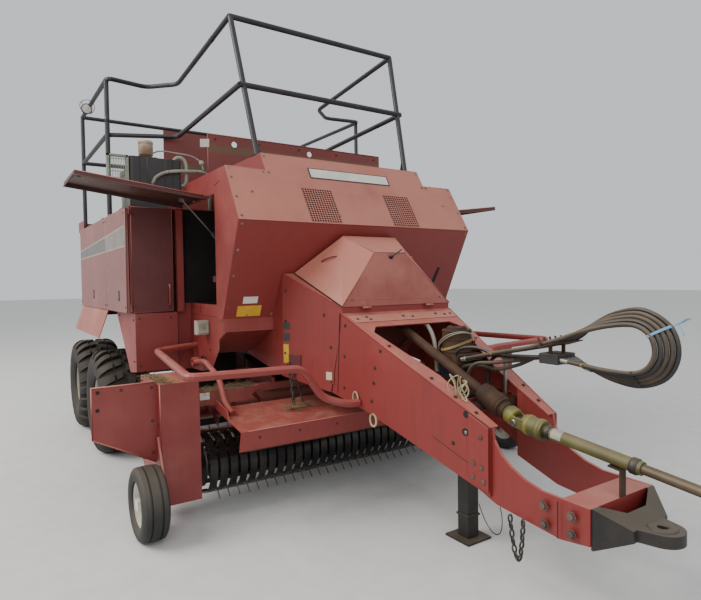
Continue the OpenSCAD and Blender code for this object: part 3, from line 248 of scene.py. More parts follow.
def stain(material, low, high, soft, colour, share):
    """Mixes a colour in where Z, shifted by noise, lies between low and high."""
    tree = material.node_tree
    shader = next(n for n in tree.nodes if n.type == "BSDF_PRINCIPLED")
    base = shader.inputs["Base Color"].links[0].from_socket
    place = put(tree, "ShaderNodeTexCoord").outputs["Object"]
    height = put(tree, "ShaderNodeSeparateXYZ", {"Vector": place}).outputs["Z"]
    ragged = put(tree, "ShaderNodeTexNoise", {"Vector": place, "Scale": 14.0, "Detail": 5.0}).outputs["Fac"]
    moved = put(tree, "ShaderNodeMath", {0: ragged, 1: soft, 2: height}, operation="MULTIPLY_ADD").outputs[0]
    inside = put(tree, "ShaderNodeMath", {0: band(tree, moved, low, low + soft),
                                          1: band(tree, moved, high + soft, high)},
                 operation="MULTIPLY").outputs[0]
    amount = put(tree, "ShaderNodeMath", {0: inside, 1: share}, operation="MULTIPLY").outputs[0]
    tree.links.new(blend_colour(tree, amount, base, colour), shader.inputs["Base Color"])


# %% [markdown]
# Bare and oily metal, cast iron, rubber and plastic need fewer layers: two tones, a speckle that
# changes roughness, and a bump at the grain's real size. One function serves them all, because the
# differences are only in colour, metallic share and grain.

# %% Plain finishes


def finish(name, tone, other, grain_mm, rough, metal=0.0, bump_mm=0.3, dusty=0.0, spread=0.25):
    """Two tones mixed by noise of a given grain size, with matching roughness and bump."""
    material, tree, shader, coords = start_material(name)
    place = coords.outputs["Object"]
    grain = put(tree, "ShaderNodeTexNoise", {"Vector": place, "Scale": 1000.0 / grain_mm, "Detail": 6.0,
                                             "Roughness": 0.65}).outputs["Fac"]
    worn = put(tree, "ShaderNodeTexNoise", {"Vector": place, "Scale": 7.0, "Detail": 5.0}).outputs["Fac"]
    colour = blend_colour(tree, band(tree, worn, 0.5 - spread, 0.5 + spread), tone, other)
    if dusty:
        normal = put(tree, "ShaderNodeSeparateXYZ", {"Vector": coords.outputs["Normal"]})
        settled = put(tree, "ShaderNodeMath", {0: normal.outputs["Z"], 1: grain}, operation="ADD").outputs[0]
        laid = put(tree, "ShaderNodeMath", {0: band(tree, settled, 0.3, 1.3), 1: dusty},
                   operation="MULTIPLY").outputs[0]
        colour = blend_colour(tree, laid, colour, "#a8957a")
    tree.links.new(colour, shader.inputs["Base Color"])
    shader.inputs["Metallic"].default_value = metal
    roughen(tree, shader, grain, rough - 0.12, rough + 0.15)
    relief = put(tree, "ShaderNodeBump", {"Height": grain, "Strength": 0.5, "Distance": bump_mm / 1000})
    tree.links.new(relief.outputs[0], shader.inputs["Normal"])
    return material


RED = enamel("baked_enamel_red", "#7d2b27", "#b4705f", "#632825")
BOX_RED = enamel("sun_bleached_enamel", "#7f4f4a", "#a8726a", "#6d3f3b", chips=0.35, streak=0.25)
TONGUE_RED = enamel("brushed_enamel_tongue", "#7f2823", "#a9584b", "#5c2a25", chips=0.9)
GUARD_RED = enamel("worn_guard_enamel", "#842f2b", "#9c4c43", "#5a2824", chips=0.8, streak=0.4,
                   dust_share=0.3)
DARK_RED = enamel("shaded_enamel", "#571f1d", "#87453c", "#3f1a19", streak=0.25, gloss=0.5)
SHIELD_RED = enamel("shield_enamel", "#74312c", "#9a5449", "#4f3a26", streak=0.4)
stain(SHIELD_RED, 2.500, 2.560, 0.035, "#5f5132", 0.75)
# A much darker red for the frame: painted shade under and inside the machine
FRAME_DARK = enamel("underside_shade_enamel", "#3c1816", "#5e2e29", "#2a1412", chips=0.6, streak=0.3, gloss=0.6)
LID_BROWN = enamel("lid_underside_enamel", "#3c1c16", "#7c3a34", "#301a12", chips=0.3, streak=0.3)
HOLLOW = finish("shadowed_interior", "#0d0909", "#1d1210", 60, 0.9, bump_mm=0.4)
DARK = finish("shadowed_steel", "#141314", "#1e1c1b", 3, 0.8, bump_mm=0.2)
RAIL = finish("rail_enamel_black", "#17181d", "#24262c", 3, 0.42, bump_mm=0.1, dusty=0.08)
CAST = finish("cast_iron_painted", "#171718", "#2b2826", 4, 0.5, metal=0.2, bump_mm=0.6, dusty=0.22)
STEEL = finish("mild_steel_oily", "#6a6763", "#3f3b37", 2, 0.42, metal=0.85, bump_mm=0.2, dusty=0.2)
WORN_STEEL = finish("band_steel_polished", "#1e1e20", "#3a3836", 6, 0.24, metal=0.7, bump_mm=0.15, dusty=0.05)
RUSTY = finish("rusty_steel", "#5b3f2c", "#3c2c22", 3, 0.75, metal=0.3, bump_mm=0.5)
ZINC = finish("zinc_plate", "#a3a29c", "#7d7a72", 3, 0.38, metal=0.9, bump_mm=0.1)
BOLT = finish("bolt_steel_rusty", "#77625a", "#4b3a35", 2, 0.5, metal=0.6, bump_mm=0.2)
PALE_BOLT = finish("screw_zinc_dull", "#9b8a7f", "#6b5047", 2, 0.5, metal=0.5, bump_mm=0.1)
RUBBER = finish("tyre_rubber", "#191717", "#282321", 2, 0.78, dusty=0.12)
GAUGE_RUBBER = finish("gauge_tyre_rubber", "#1f1f20", "#302e2b", 2, 0.7, dusty=0.15)
HOSE = finish("hose_rubber", "#18181a", "#2a2a2b", 2, 0.45, bump_mm=0.1, dusty=0.2)
DUSTY_HOSE = finish("hose_rubber_dusty", "#2b2520", "#4f4336", 2, 0.7, bump_mm=0.15, dusty=0.25)
RIM_GREY = finish("rim_enamel_grey", "#b4b0a5", "#8f8a7d", 4, 0.5, bump_mm=0.2, dusty=0.3)
RIM_WHITE = finish("rim_enamel_white", "#d8d5ca", "#aaa496", 4, 0.45, bump_mm=0.2, dusty=0.2)
BLACK_SHEET = finish("moulded_polypropylene", "#1b1b1e", "#2a2a2c", 1.5, 0.5, bump_mm=0.15, dusty=0.18)
GUARD = finish("guard_polyethylene_olive", "#5d5a28", "#45431f", 3, 0.6, bump_mm=0.2, dusty=0.25)
YOKE = finish("yoke_enamel_yellow", "#7f7a30", "#4a4822", 4, 0.5, bump_mm=0.4, dusty=0.15, spread=0.15)
BROWN = finish("shaft_steel_brown", "#6a5844", "#4a3c2e", 3, 0.5, metal=0.4, dusty=0.2)
OLD_BROWN = finish("duct_steel_brown", "#4a3d33", "#33291f", 5, 0.7, bump_mm=0.4, dusty=0.3)
GREY_GREEN = finish("screen_enamel_grey_green", "#8f988a", "#6f7669", 4, 0.55, bump_mm=0.2, dusty=0.3)
RESERVOIR = finish("reservoir_enamel_rusty_white", "#b9b3a4", "#7b5f49", 6, 0.55, dusty=0.2, spread=0.15)
BOTTLE = finish("bottle_polyethylene", "#c9bd9e", "#b3a27c", 5, 0.5, bump_mm=0.2)
CREAM = finish("plate_enamel_white", "#dad7cd", "#c2bfb4", 3, 0.45, bump_mm=0.05)
YELLOW = finish("plate_vinyl_yellow", "#d3a92f", "#b88d24", 3, 0.4, bump_mm=0.05)
INK = finish("plate_vinyl_black", "#202022", "#3a3a3a", 3, 0.4, bump_mm=0.05)
STRIPE = finish("vinyl_stripe_grey", "#5f605d", "#6d6965", 8, 0.5, bump_mm=0.05)
STRIPE_FADED = finish("vinyl_stripe_faded", "#86807b", "#786f6a", 8, 0.5, bump_mm=0.05)
PALE = finish("vinyl_border_pale", "#a39088", "#96807a", 8, 0.5, bump_mm=0.05)
MARKER = finish("marker_housing_grey", "#a9a193", "#8d8a78", 3, 0.5, bump_mm=0.1)
RESIN = finish("marker_resin_green_grey", "#8f937f", "#767a66", 3, 0.35, bump_mm=0.05)
LENS = finish("lamp_polycarbonate_red", "#8c1f1c", "#a33a2c", 2, 0.25, bump_mm=0.1)
NAVY = finish("canister_label_navy", "#26324a", "#1b2438", 3, 0.45, bump_mm=0.1)
ROPE = finish("rope_eye_cream", "#b8ab84", "#8d8566", 2, 0.7)
BLUE = finish("twine_tie_pale_blue", "#7fa9c9", "#5f8db3", 2, 0.6, bump_mm=0.2)
TWINE = finish("sisal_twine", "#a98f5e", "#8a7247", 1.5, 0.85, bump_mm=0.4)
STRAW = finish("dry_straw", "#8f7a55", "#6b5a3e", 2, 0.7, bump_mm=0.2)
CHAFF = finish("chaff_dust_grey", "#6f5f4b", "#54473a", 2, 0.9, bump_mm=1.5, spread=0.15)

# %% [markdown]
# A solid part is coated by the start of its name, and red enamel covers all the rest. Each material
# is also listed under one of a few slot names.

# %% Coats and slots
COATS = {"flywheel_cover": RED, "tongue": TONGUE_RED, "windguard": GUARD_RED, "guard_rails": GUARD_RED,
         "frame": FRAME_DARK, "box_door": DARK_RED, "lid_": LID_BROWN, "walking_beams": DARK_RED,
         "feeder": DARK_RED, "gearbox": DARK_RED, "flywheel": DARK_RED, "chamber": DARK_RED,
         "deck": SHIELD_RED, "handrails": RAIL, "hitch": CAST, "jack": CAST, "cooler": BLACK_SHEET,
         "stripper_bands": WORN_STEEL, "strut_tube": BLACK_SHEET, "brackets": RUSTY, "canister": RUSTY,
         "drive_shaft": RUSTY, "strut_rod": STEEL, "knotters": STEEL, "tine_reel": STEEL, "pto_tube": GUARD,
         "pto_tip": BROWN, "lamps": MARKER, "rim_": RIM_GREY, "gauge_rim": RIM_WHITE, "tyre_": RUBBER,
         "gauge_tyre": RUBBER, "hose_": HOSE, "panel_": BOX_RED}
for key, node in NODES.items():
    node.data.materials.clear()
    node.data.materials.append(next((coat for start, coat in COATS.items() if key.startswith(start)), RED))
SLOTS = {
    "red_paint": (RED, BOX_RED), "tongue_paint": (TONGUE_RED,), "dark_paint": (DARK_RED, LID_BROWN),
    "cast_black": (HOLLOW, INK, CAST, DARK), "rim_white": (CREAM, BOTTLE, RESERVOIR, RIM_WHITE, ROPE),
    "lamp_white": (YELLOW, RESIN, LENS, MARKER), "shaft_guard": (YOKE,), "rail_paint": (RAIL,),
    "grey_steel": (PALE_BOLT, STEEL, BOLT, ZINC, GREY_GREEN, WORN_STEEL, STRIPE, STRIPE_FADED, RUSTY),
    "hose_rubber": (BLUE, HOSE, DUSTY_HOSE, TWINE), "black_sheet": (BLACK_SHEET, NAVY, OLD_BROWN),
    "shaft_brown": (STRAW, CHAFF), "tyre_rubber": (RUBBER, GAUGE_RUBBER), "rim_paint": (PALE, RIM_GREY)}
SLOT_OF = {material.name: slot for slot, group in SLOTS.items() for material in group}
print("materials:", len(bpy.data.materials))

# %% [markdown]
# The floor is a plain pale sheet, large enough that its edge never shows.

# %% Floor
REACH = 60.0
floor_mesh = bpy.data.meshes.new("floor")
floor_mesh.from_pydata([(-REACH, -REACH, 0), (REACH, -REACH, 0), (REACH, REACH, 0), (-REACH, REACH, 0)], [],
                       [(0, 1, 2, 3)])
floor = bpy.data.objects.new("floor", floor_mesh)
bpy.context.scene.collection.objects.link(floor)
floor_mesh.materials.append(finish("studio_floor", "#d9d8d4", "#d2d1cc", 400, 0.8, bump_mm=0.0))

# %% [markdown]
# New pieces are surfaces worked out with numpy. A surface is a grid of points from two parameters,
# and a tube is a ring carried along a path. Many small items of one kind are one piece: their points
# are copied by broadcasting one template over an array of places and directions.

# %% Surface helpers


def angles(count):
    """Even angles round a full turn, from 0."""
    return np.linspace(0, 2 * np.pi, count, endpoint=False)


def grid_faces(rows, cols, around=False):
    """Quads between neighbouring points of a rows by cols grid; around joins the last column to the first."""
    i, j = np.meshgrid(np.arange(rows - 1), np.arange(cols if around else cols - 1), indexing="ij")
    k = (j + 1) % cols
    return np.stack([i * cols + j, i * cols + k, (i + 1) * cols + k, (i + 1) * cols + j], -1).reshape(-1, 4)


def ring_faces(rings, sides):
    """Faces of a stack of rings, with a cap at either end."""
    last = (rings - 1) * sides
    return grid_faces(rings, sides, around=True).tolist() + [list(range(sides))[::-1],
                                                             list(range(last, last + sides))]


def joined(*parts):
    """Several (points, faces) shells as one, with the later faces renumbered."""
    points, faces, start = [], [], 0
    for p, f in parts:
        points.append(np.asarray(p, float).reshape(-1, 3))
        faces.extend((np.asarray(row) + start).tolist() for row in f)
        start += len(points[-1])
    return np.concatenate(points), faces


def piece(name, shell, material, body="chassis", slot=None, smooth=False, bevel=0.0, turn=False):
    """A mesh object from a shell on a body, or on none. bevel rounds its edges."""
    points, faces = shell
    mesh = bpy.data.meshes.new(name)
    mesh.from_pydata(np.asarray(points, float).tolist(), [], [list(map(int, f)) for f in faces])
    if turn:
        work = bmesh.new()
        work.from_mesh(mesh)
        bmesh.ops.remove_doubles(work, verts=work.verts, dist=1e-5)
        bmesh.ops.recalc_face_normals(work, faces=work.faces)
        work.to_mesh(mesh)
        work.free()
    mesh.polygons.foreach_set("use_smooth", [smooth] * len(mesh.polygons))
    mesh.materials.append(material)
    made = bpy.data.objects.new(name, mesh)
    bpy.context.scene.collection.objects.link(made)
    if bevel:
        rounding = made.modifiers.new("edges", "BEVEL")
        rounding.width, rounding.segments, rounding.limit_method = bevel, 2, "ANGLE"
    if body:
        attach(made, body)
    slot = slot or SLOT_OF[material.name]
    return made


def tube(path, radius, sides=10, caps=True):
    """A round tube along a path. Its rings are set out from the direction the path moves in least."""
    path = np.asarray(path, float)
    heading = unit(np.gradient(path, axis=0))
    least = np.linalg.svd(path - path.mean(0), full_matrices=True)[2][2]
    u = unit(np.cross(heading, least))
    v = np.cross(heading, u)
    a = angles(sides)
    ring = u[:, None] * np.cos(a)[None, :, None] + v[:, None] * np.sin(a)[None, :, None]
    faces = ring_faces(len(path), sides)
    return (path[:, None] + radius * ring).reshape(-1, 3), faces if caps else faces[:-2]


def bead(start, end, radius, sides=8):
    """A straight round bead between two points."""
    return tube([start, end], radius, sides)


def rolls(outline, radius):
    """A rolled edge: a bead along each stretch of an outline."""
    return joined(*[bead(a, b, radius) for a, b in zip(outline, outline[1:])])


def smooth_path(knots, per=8):
    """A Catmull-Rom curve through the knots: each stretch blends its four nearest knots by cubic weights."""
    k = np.asarray(knots, float)
    k = np.concatenate([[2 * k[0] - k[1]], k, [2 * k[-1] - k[-2]]])
    t = np.linspace(0, 1, per, endpoint=False)[:, None]
    a, b, c, d = k[:-3, None], k[1:-2, None], k[2:-1, None], k[3:, None]
    curve = 0.5 * (2 * b + (c - a) * t + (2 * a - 5 * b + 4 * c - d) * t**2 + (3 * b - a - 3 * c + d) * t**3)
    return np.concatenate([curve.reshape(-1, 3), k[-2:-1]])


def pipe(knots, radius, sides=14, per=8):
    """A bent pipe: a round tube along the smooth curve through its knots."""
    return tube(smooth_path(knots, per), radius, sides)


def box(low, high):
    """A closed box from its lowest to its highest corner."""
    (x, y, z), (p, q, r) = low, high
    points = [(x, y, z), (p, y, z), (p, q, z), (x, q, z), (x, y, r), (p, y, r), (p, q, r), (x, q, r)]
    return points, [(0, 3, 2, 1), (4, 5, 6, 7), (0, 1, 5, 4), (1, 2, 6, 5), (2, 3, 7, 6), (3, 0, 4, 7)]


def plate(corners, thickness):
    """A flat plate: corners in order round its face, thickened against the face's normal."""
    c = np.asarray(corners, float)
    n = unit(np.cross(c[1] - c[0], c[2] - c[0]))
    count = len(c)
    sides = [(i, i + count, (i + 1) % count + count, (i + 1) % count) for i in range(count)]
    back = tuple(range(2 * count - 1, count - 1, -1))
    return np.concatenate([c, c - n * thickness]), [tuple(range(count)), back, *sides]


def turned(profile, centre, axis, steps=32, caps=True):
    """A shape turned round an axis: profile rows are distance along the axis and radius."""
    profile = np.asarray(profile, float)
    axis = unit(axis)
    u = unit(np.cross(axis, [0, 0, 1] if abs(axis[2]) < 0.9 else [1, 0, 0]))
    a = angles(steps)
    ring = u * np.cos(a)[:, None] + np.cross(axis, u) * np.sin(a)[:, None]
    points = np.asarray(centre) + axis * profile[:, None, :1] + profile[:, 1, None, None] * ring
    faces = ring_faces(len(profile), steps)
    return points.reshape(-1, 3), faces if caps else faces[:-2]


def collar(centre, axis, inner, outer, length, chamfer, steps=28):
    """A ring on a round bar, from the bar's radius inner up to outer over a chamfer at either end."""
    rows = [(0, inner), (chamfer, outer), (length - chamfer, outer), (length, inner)]
    return turned(rows, centre, axis, steps)


def spot(centre, axis, radius, steps=20, thick=0.0006, tip=0.0005):
    """A thin disc that stands for a drilled hole; its colour paints what shows through, mostly shade."""
    return turned([(0, radius), (thick, radius), (thick + 0.0002, tip)], centre, axis, steps)


def studs(places, normals, radius, height, sides=6):
    """Bolt heads: one six-sided head with a chamfered rim on a washer, copied to every place."""
    places = np.atleast_2d(np.asarray(places, float))
    n = unit(np.broadcast_to(np.asarray(normals, float), places.shape))
    u = unit(np.cross(n, np.where(np.abs(n[:, 2:3]) < 0.9, [[0.0, 0.0, 1.0]], [[1.0, 0.0, 0.0]])))
    v = np.cross(n, u)
    a = angles(sides)
    rows = [(1.55, 0.0), (1.55, 0.18), (1.0, 0.18), (1.0, 0.85), (0.85, 1.0)]
    around = u[:, None] * np.cos(a)[:, None] + v[:, None] * np.sin(a)[:, None]
    rings = [places[:, None] + radius * r * around + n[:, None] * height * h for r, h in rows]
    one = grid_faces(len(rows), sides, around=True).tolist()
    one.append(list(range((len(rows) - 1) * sides, len(rows) * sides)))
    size = len(rows) * sides
    faces = [[i + size * k for i in f] for k in range(len(places)) for f in one]
    return np.stack(rings, 1).reshape(-1, 3), faces


# %% [markdown]
# Where things stand is counted in stations ahead of the nose, as on the drawing. Most pieces come in
# pairs, so they are worked out on the right side (negative Y) and flipped for the left, which also
# turns every face round so that it still points outwards.

# %% Places and pairs


def on(points):
    """Points counted from the nose, in the row frame."""
    return np.asarray(points, float) + [NOSE, 0, 0]


def beside(y, spots):
    """Points on the upright plane at side distance y, from rows of station and height."""
    return on([(x, y, z) for x, z in spots])


def across(x, spots):
    """Points on the upright plane at station x, from rows of side distance and height."""
    return on([(x, y, z) for y, z in spots])


def rectangle(a, b, c, d):
    """Corners in order of the rectangle from a to b and from c up to d."""
    return (a, c), (b, c), (b, d), (a, d)


def block(low, high):
    """A box whose two corners are counted from the nose."""
    return box(at(*low), at(*high))


def bolts_beside(y, spots, radius, height):
    """Bolt heads on an upright face that looks right."""
    return studs(beside(y, spots), (0, -1, 0), radius, height)


def bolts_across(x, spots, radius, height):
    """Bolt heads on an upright face that looks ahead."""
    return studs(across(x, spots), (1, 0, 0), radius, height)


def flipped(shell):
    """The same shell on the other side: Y changes sign and each face is read backwards."""
    points, faces = shell
    return np.asarray(points, float).reshape(-1, 3) * [1, -1, 1], [list(face)[::-1] for face in faces]


def both_sides(*shells):
    """Right-hand shells joined with their left-hand twins."""
    shell = joined(*shells) if len(shells) > 1 else shells[0]
    return joined(shell, flipped(shell))


def twins(name, shell, material, body, end="", **look):
    """A right-hand piece and its left-hand twin, each on the body of its own side."""
    for side_name, one in (("r", shell), ("l", flipped(shell))):
        piece(f"{name}_{side_name}{end}", one, material, f"{body}_{side_name}{end}", **look)


def sharp(made, degrees=35):
    """Smooth shading with every edge steeper than this angle kept crisp."""
    made.data.polygons.foreach_set("use_smooth", [True] * len(made.data.polygons))
    made.data.set_sharp_from_angle(angle=math.radians(degrees))


# %% [markdown]
# The road tyres are flotation tyres with two rows of slanting blocks, cut through by a groove round
# each shoulder. A tyre is a grid: across it run rows with a groove radius and a block radius, and
# round it run stations, where a block is either up or down. The rows of each half are turned a
# little against each other, so that the blocks slant, and one half is half a pitch ahead.

# %% Road tyres
TYRE_RADIUS, TYRE_HALF, HALF_TRACK = 0.445, 0.200, 1.275
BLOCKS = 22
# Across the tyre from the bead to the middle: place, radius in the groove, radius on a block
HALF_ROWS = np.array([
    (0.152, 0.205, 0.205), (0.168, 0.212, 0.212), (0.184, 0.235, 0.235), (0.196, 0.285, 0.285),
    (0.200, 0.335, 0.335), (0.198, 0.352, 0.352), (0.196, 0.356, 0.372), (0.191, 0.366, 0.392),
    (0.178, 0.380, 0.412), (0.160, 0.394, 0.427), (0.140, 0.404, 0.437), (0.120, 0.411, 0.4445),
    (0.088, 0.415, 0.445), (0.084, 0.416, 0.420), (0.074, 0.416, 0.420), (0.070, 0.416, 0.445),
    (0.020, 0.417, 0.445), (0.014, 0.418, 0.418)])
# Round the tyre within one block's pitch: where it changes, and whether the block is up there
STATIONS, RAISED = np.array([0.0, 0.05, 0.3, 0.55, 0.6, 0.8]), np.array([0, 1, 1, 1, 0, 0])


def tyre_shell(side):
    """Radius = groove + up * (block - groove) at angle pitch * (station + slant); closed at the bead."""
    rows = np.concatenate([HALF_ROWS * [-1, 1, 1], HALF_ROWS[::-1], HALF_ROWS[:1] * [-1, 1, 1]])
    place, low, high = rows.T
    turn = (np.arange(BLOCKS)[:, None] + STATIONS).ravel()
    slant = 0.62 * (TYRE_HALF - np.abs(place)) / TYRE_HALF + 0.5 * (place > 0)
    angle = 2 * np.pi / BLOCKS * (turn + slant[:, None])
    radius = low[:, None] + np.tile(RAISED, BLOCKS) * (high - low)[:, None]
    points = np.stack([radius * np.cos(angle), np.broadcast_to(place[:, None] * side, angle.shape),
                       radius * np.sin(angle)], -1)
    return points.reshape(-1, 3), grid_faces(len(rows), len(turn), around=True)


def wheel_nuts(centre, side, count, circle, out, radius, height):
    """Nuts evenly round a wheel's axle, at a distance out from its centre."""
    a = angles(count)
    places = centre + np.stack([circle * np.cos(a), np.full(count, side * out), circle * np.sin(a)], -1)
    return studs(places, (0, side, 0), radius, height)


HUB_CAP = [(0, 0.058), (0.006, 0.062), (0.03, 0.058), (0.04, 0.046), (0.044, 0.01)]
for side_name, side in (("r", -1), ("l", 1)):
    for end, station in (("f", -2.06), ("r", -3.16)):
        corner = f"{side_name}{end}"
        centre = at(station, side * HALF_TRACK, TYRE_RADIUS)
        points, faces = tyre_shell(side)
        made = piece(f"lugged_tyre_{corner}", (points + centre, faces), RUBBER, f"wheel_{corner}", turn=True)
        sharp(made, 28)
        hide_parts(f"tyre_{side_name}{end}")
        piece(f"wheel_nuts_{corner}", wheel_nuts(centre, side, 8, 0.105, 0.0285, 0.014, 0.022), ZINC,
              f"wheel_{corner}")
        cap = turned(HUB_CAP, centre + [0, side * 0.0925, 0], (0, side, 0), 28)
        sharp(piece(f"hub_cap_{corner}", cap, RIM_GREY, f"wheel_{corner}", turn=True))

# %% [markdown]
# The pickup's gauge wheels have small implement tyres with three ribs round them, which is a plain
# profile turned about the axle, and a white rim with a square hub.

# %% Gauge wheels
GAUGE_AT, GAUGE_HALF_TRACK, GAUGE_RADIUS, GAUGE_STEPS = -0.1, 1.5, 0.21, 72
HALF_RIBS = [(0.055, 0.125), (0.066, 0.130), (0.075, 0.150), (0.075, 0.178), (0.068, 0.196), (0.058, 0.206),
             (0.034, 0.2095), (0.031, 0.200), (0.025, 0.200), (0.022, 0.210)]
RIBBED = [(-place, radius) for place, radius in HALF_RIBS] + HALF_RIBS[::-1]
for side_name, side in (("r", -1), ("l", 1)):
    centre = at(GAUGE_AT, side * GAUGE_HALF_TRACK, GAUGE_RADIUS)
    points, faces = turned(RIBBED, centre, (0, side, 0), GAUGE_STEPS, caps=False)
    # The bead closes from the last ring back to the first
    first = np.arange(GAUGE_STEPS)
    following, last = (first + 1) % GAUGE_STEPS, (len(RIBBED) - 1) * GAUGE_STEPS
    faces += np.stack([first, following, last + following, last + first], -1).tolist()
    made = piece(f"ribbed_tyre_{side_name}", (points, faces), GAUGE_RUBBER, f"gauge_{side_name}", turn=True)
    sharp(made)
    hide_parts(f"gauge_tyre_{side_name}")
    hub_at = centre + [0, side * 0.054, 0]
    hub = box(hub_at - [0.03, 0.014, 0.03], hub_at + [0.03, 0.014, 0.03])
    piece(f"square_hub_{side_name}", hub, RIM_WHITE, f"gauge_{side_name}", bevel=0.004)
    piece(f"gauge_nuts_{side_name}", wheel_nuts(centre, side, 5, 0.072, 0.0135, 0.007, 0.012), ZINC,
          f"gauge_{side_name}")

# %% [markdown]
# The hood is two sheets folded at the nose. Its trim lies on the upper or the lower sheet, so two
# small functions give a point on each sheet from its distance to the side and its height, raised off
# the sheet by a lift along the sheet's normal.

# %% Points on the hood
NOSE_Z, SHOULDER_Z, SHOULDER_X = 1.842, 2.198, -0.215
HOOD_LOW_Z, HOOD_LOW_X = 1.222, -0.300
UPPER_NORMAL = unit([SHOULDER_Z - NOSE_Z, 0, -SHOULDER_X])
LOWER_NORMAL = unit([NOSE_Z - HOOD_LOW_Z, 0, HOOD_LOW_X])


def raised(x, y, z, normal, lift):
    """Points from stations, side distances and heights of any matching shapes, lifted along a normal."""
    x, y, z = np.broadcast_arrays(x, y, z)
    return np.stack([x + NOSE, y, z], -1) + normal * lift


def upper(y, z, lift=0.0):
    """A point on the upper sheet, which leans back from the nose fold to the roof."""
    return raised(SHOULDER_X * (np.asarray(z) - NOSE_Z) / (SHOULDER_Z - NOSE_Z), y, z, UPPER_NORMAL, lift)


def lower(y, z, lift=0.0):
    """A point on the lower sheet, which leans back from the nose fold to the bottom."""
    return raised(HOOD_LOW_X * (NOSE_Z - np.asarray(z)) / (NOSE_Z - HOOD_LOW_Z), y, z, LOWER_NORMAL, lift)


# %% [markdown]
# Two patches of the upper sheet are perforated so that the knotter fans can breathe. Each hole gets
# its own square cell: a ring of eight faces between the cell's edge and an octagon, sunk a little so
# that the rim of the hole shows, over a near-black sheet of painted shade for the dark space behind.

# %% Perforated vents


def perforated(corner, along, up, columns, rows, inward, hole=0.42, rim=0.0012):
    """Cells of a sheet with an octagonal hole each; along and up are the patch's whole sides."""
    a = np.arange(8) * np.pi / 4 + np.pi / 4
    ring = np.stack([np.cos(a), np.sin(a)], -1) * hole
    edge = np.array([(0.5, 0.5), (0.0, 0.5), (-0.5, 0.5), (-0.5, 0.0), (-0.5, -0.5), (0.0, -0.5), (0.5, -0.5),
                     (0.5, 0.0)])
    i, j = np.meshgrid(np.arange(columns), np.arange(rows), indexing="ij")
    middle = np.stack([i, j], -1).reshape(-1, 1, 2) + 0.5
    flat = np.concatenate([middle + edge, middle + ring, middle + ring], 1) / [columns, rows]
    points = corner + flat[..., :1] * along + flat[..., 1:] * up
    # Each cell has three rings of eight points: its edge, the hole, and the hole's sunk rim
    points[:, 16:] -= inward * rim
    faces = grid_faces(3, 8, around=True) + 24 * np.arange(columns * rows)[:, None, None]
    return points.reshape(-1, 3), faces.reshape(-1, 4)


VENT_LOW, VENT_HIGH = 1.850, 2.086
vents, backs = [], []
for y_low, y_high in ((-0.452, -0.218), (0.228, 0.462)):
    base = upper(y_low, VENT_LOW, 0.0022)
    along, up = upper(y_high, VENT_LOW, 0.0022) - base, upper(y_low, VENT_HIGH, 0.0022) - base
    vents.append(perforated(base, along, up, 12, 15, UPPER_NORMAL))
    backs.append(plate([upper(y, z, 0.0009) for y, z in rectangle(y_low, y_high, VENT_LOW, VENT_HIGH)],
                       0.0005))
piece("vent_perforations", joined(*vents), RED)
piece("vent_shadow_sheet", joined(*backs), HOLLOW)

# %% [markdown]
# Trim on the hood: a blank name plate in a dark frame, labels with nothing on them, a slot beside the
# flywheel's cover painted dark as the shade inside it, and screws along every edge.

# %% Hood trim


def label(surface, span, thick=0.0016):
    """A thin plate on a sheet, over a span of two places along it and two places up it."""
    return plate([surface(a, b, thick) for a, b in rectangle(*span)], thick)


piece("name_plate_frame", label(upper, (-0.350, 0.336, 2.168, 2.246), 0.003), INK, bevel=0.0008)
piece("name_plate_blank", label(upper, (-0.340, 0.326, 2.175, 2.239), 0.0045), CREAM, bevel=0.0008)
piece("label_yellow", label(lower, (-0.872, -0.704, 1.236, 1.306)), YELLOW)
piece("label_white", label(lower, (-0.842, -0.740, 1.322, 1.366)), CREAM)
# The slot has half-round ends
slot_low, slot_high = lower(0.752, 1.425, 0.0006), lower(0.768, 1.545, 0.0006)
steps = np.linspace(0, np.pi, 7)
half_round = 0.016 * (np.outer(np.cos(steps), [0, 1, 0])
                      + np.outer(np.sin(steps), unit(slot_high - slot_low)))
piece("hood_slot", plate(np.concatenate([slot_high + half_round, slot_low - half_round]), 0.0004), DARK)
edge_z, edge_low = [1.865, 1.99, 2.12, 2.185], [1.815, 1.66, 1.50, 1.30]
upper_screws = [upper(-0.935, edge_z), upper(0.935, edge_z), upper([-0.70, -0.66, 0.66, 0.70], 2.182),
                upper([-0.66, 0.66], 2.300), upper([-0.82, 0.80, -0.22], [2.03, 2.04, 1.90])]
lower_screws = [lower(-0.935, edge_low), lower(0.935, edge_low), lower([-0.80, -0.62, 0.62, 0.80], 1.245)]
piece("hood_screws_upper", studs(np.concatenate(upper_screws), UPPER_NORMAL, 0.0065, 0.006), PALE_BOLT)
piece("hood_screws_lower", studs(np.concatenate(lower_screws), LOWER_NORMAL, 0.0065, 0.006), PALE_BOLT)

# %% [markdown]
# A bent sheet shows a soft bright line along its fold, because the fold is round and paint wears
# there. These are round beads a few millimetres wide, half sunk in the sheet along its folds.

# %% Folds and seams
SHEET_FOLD = 0.004
spans = [(-0.958, 0.958, NOSE_Z, -0.0015), (-0.678, 0.678, 2.3215, -0.003),
         (-0.958, -0.682, SHOULDER_Z, -0.003), (0.682, 0.958, SHOULDER_Z, -0.003)]
folds = [bead(upper(a, z, lift), upper(b, z, lift), SHEET_FOLD) for a, b, z, lift in spans]
piece("hood_folds", joined(*folds), RED, smooth=True)
# Dark joint where the side cheek meets the fascia above the service opening
piece("cheek_joint", both_sides(tube(beside(-0.9608, [(-0.30, 2.115), (-0.405, 2.098)]), 0.0012, 6)), DARK)

# %% [markdown]
# The square markers below the hood are moulded housings with a sunk blank face.

# %% Front markers


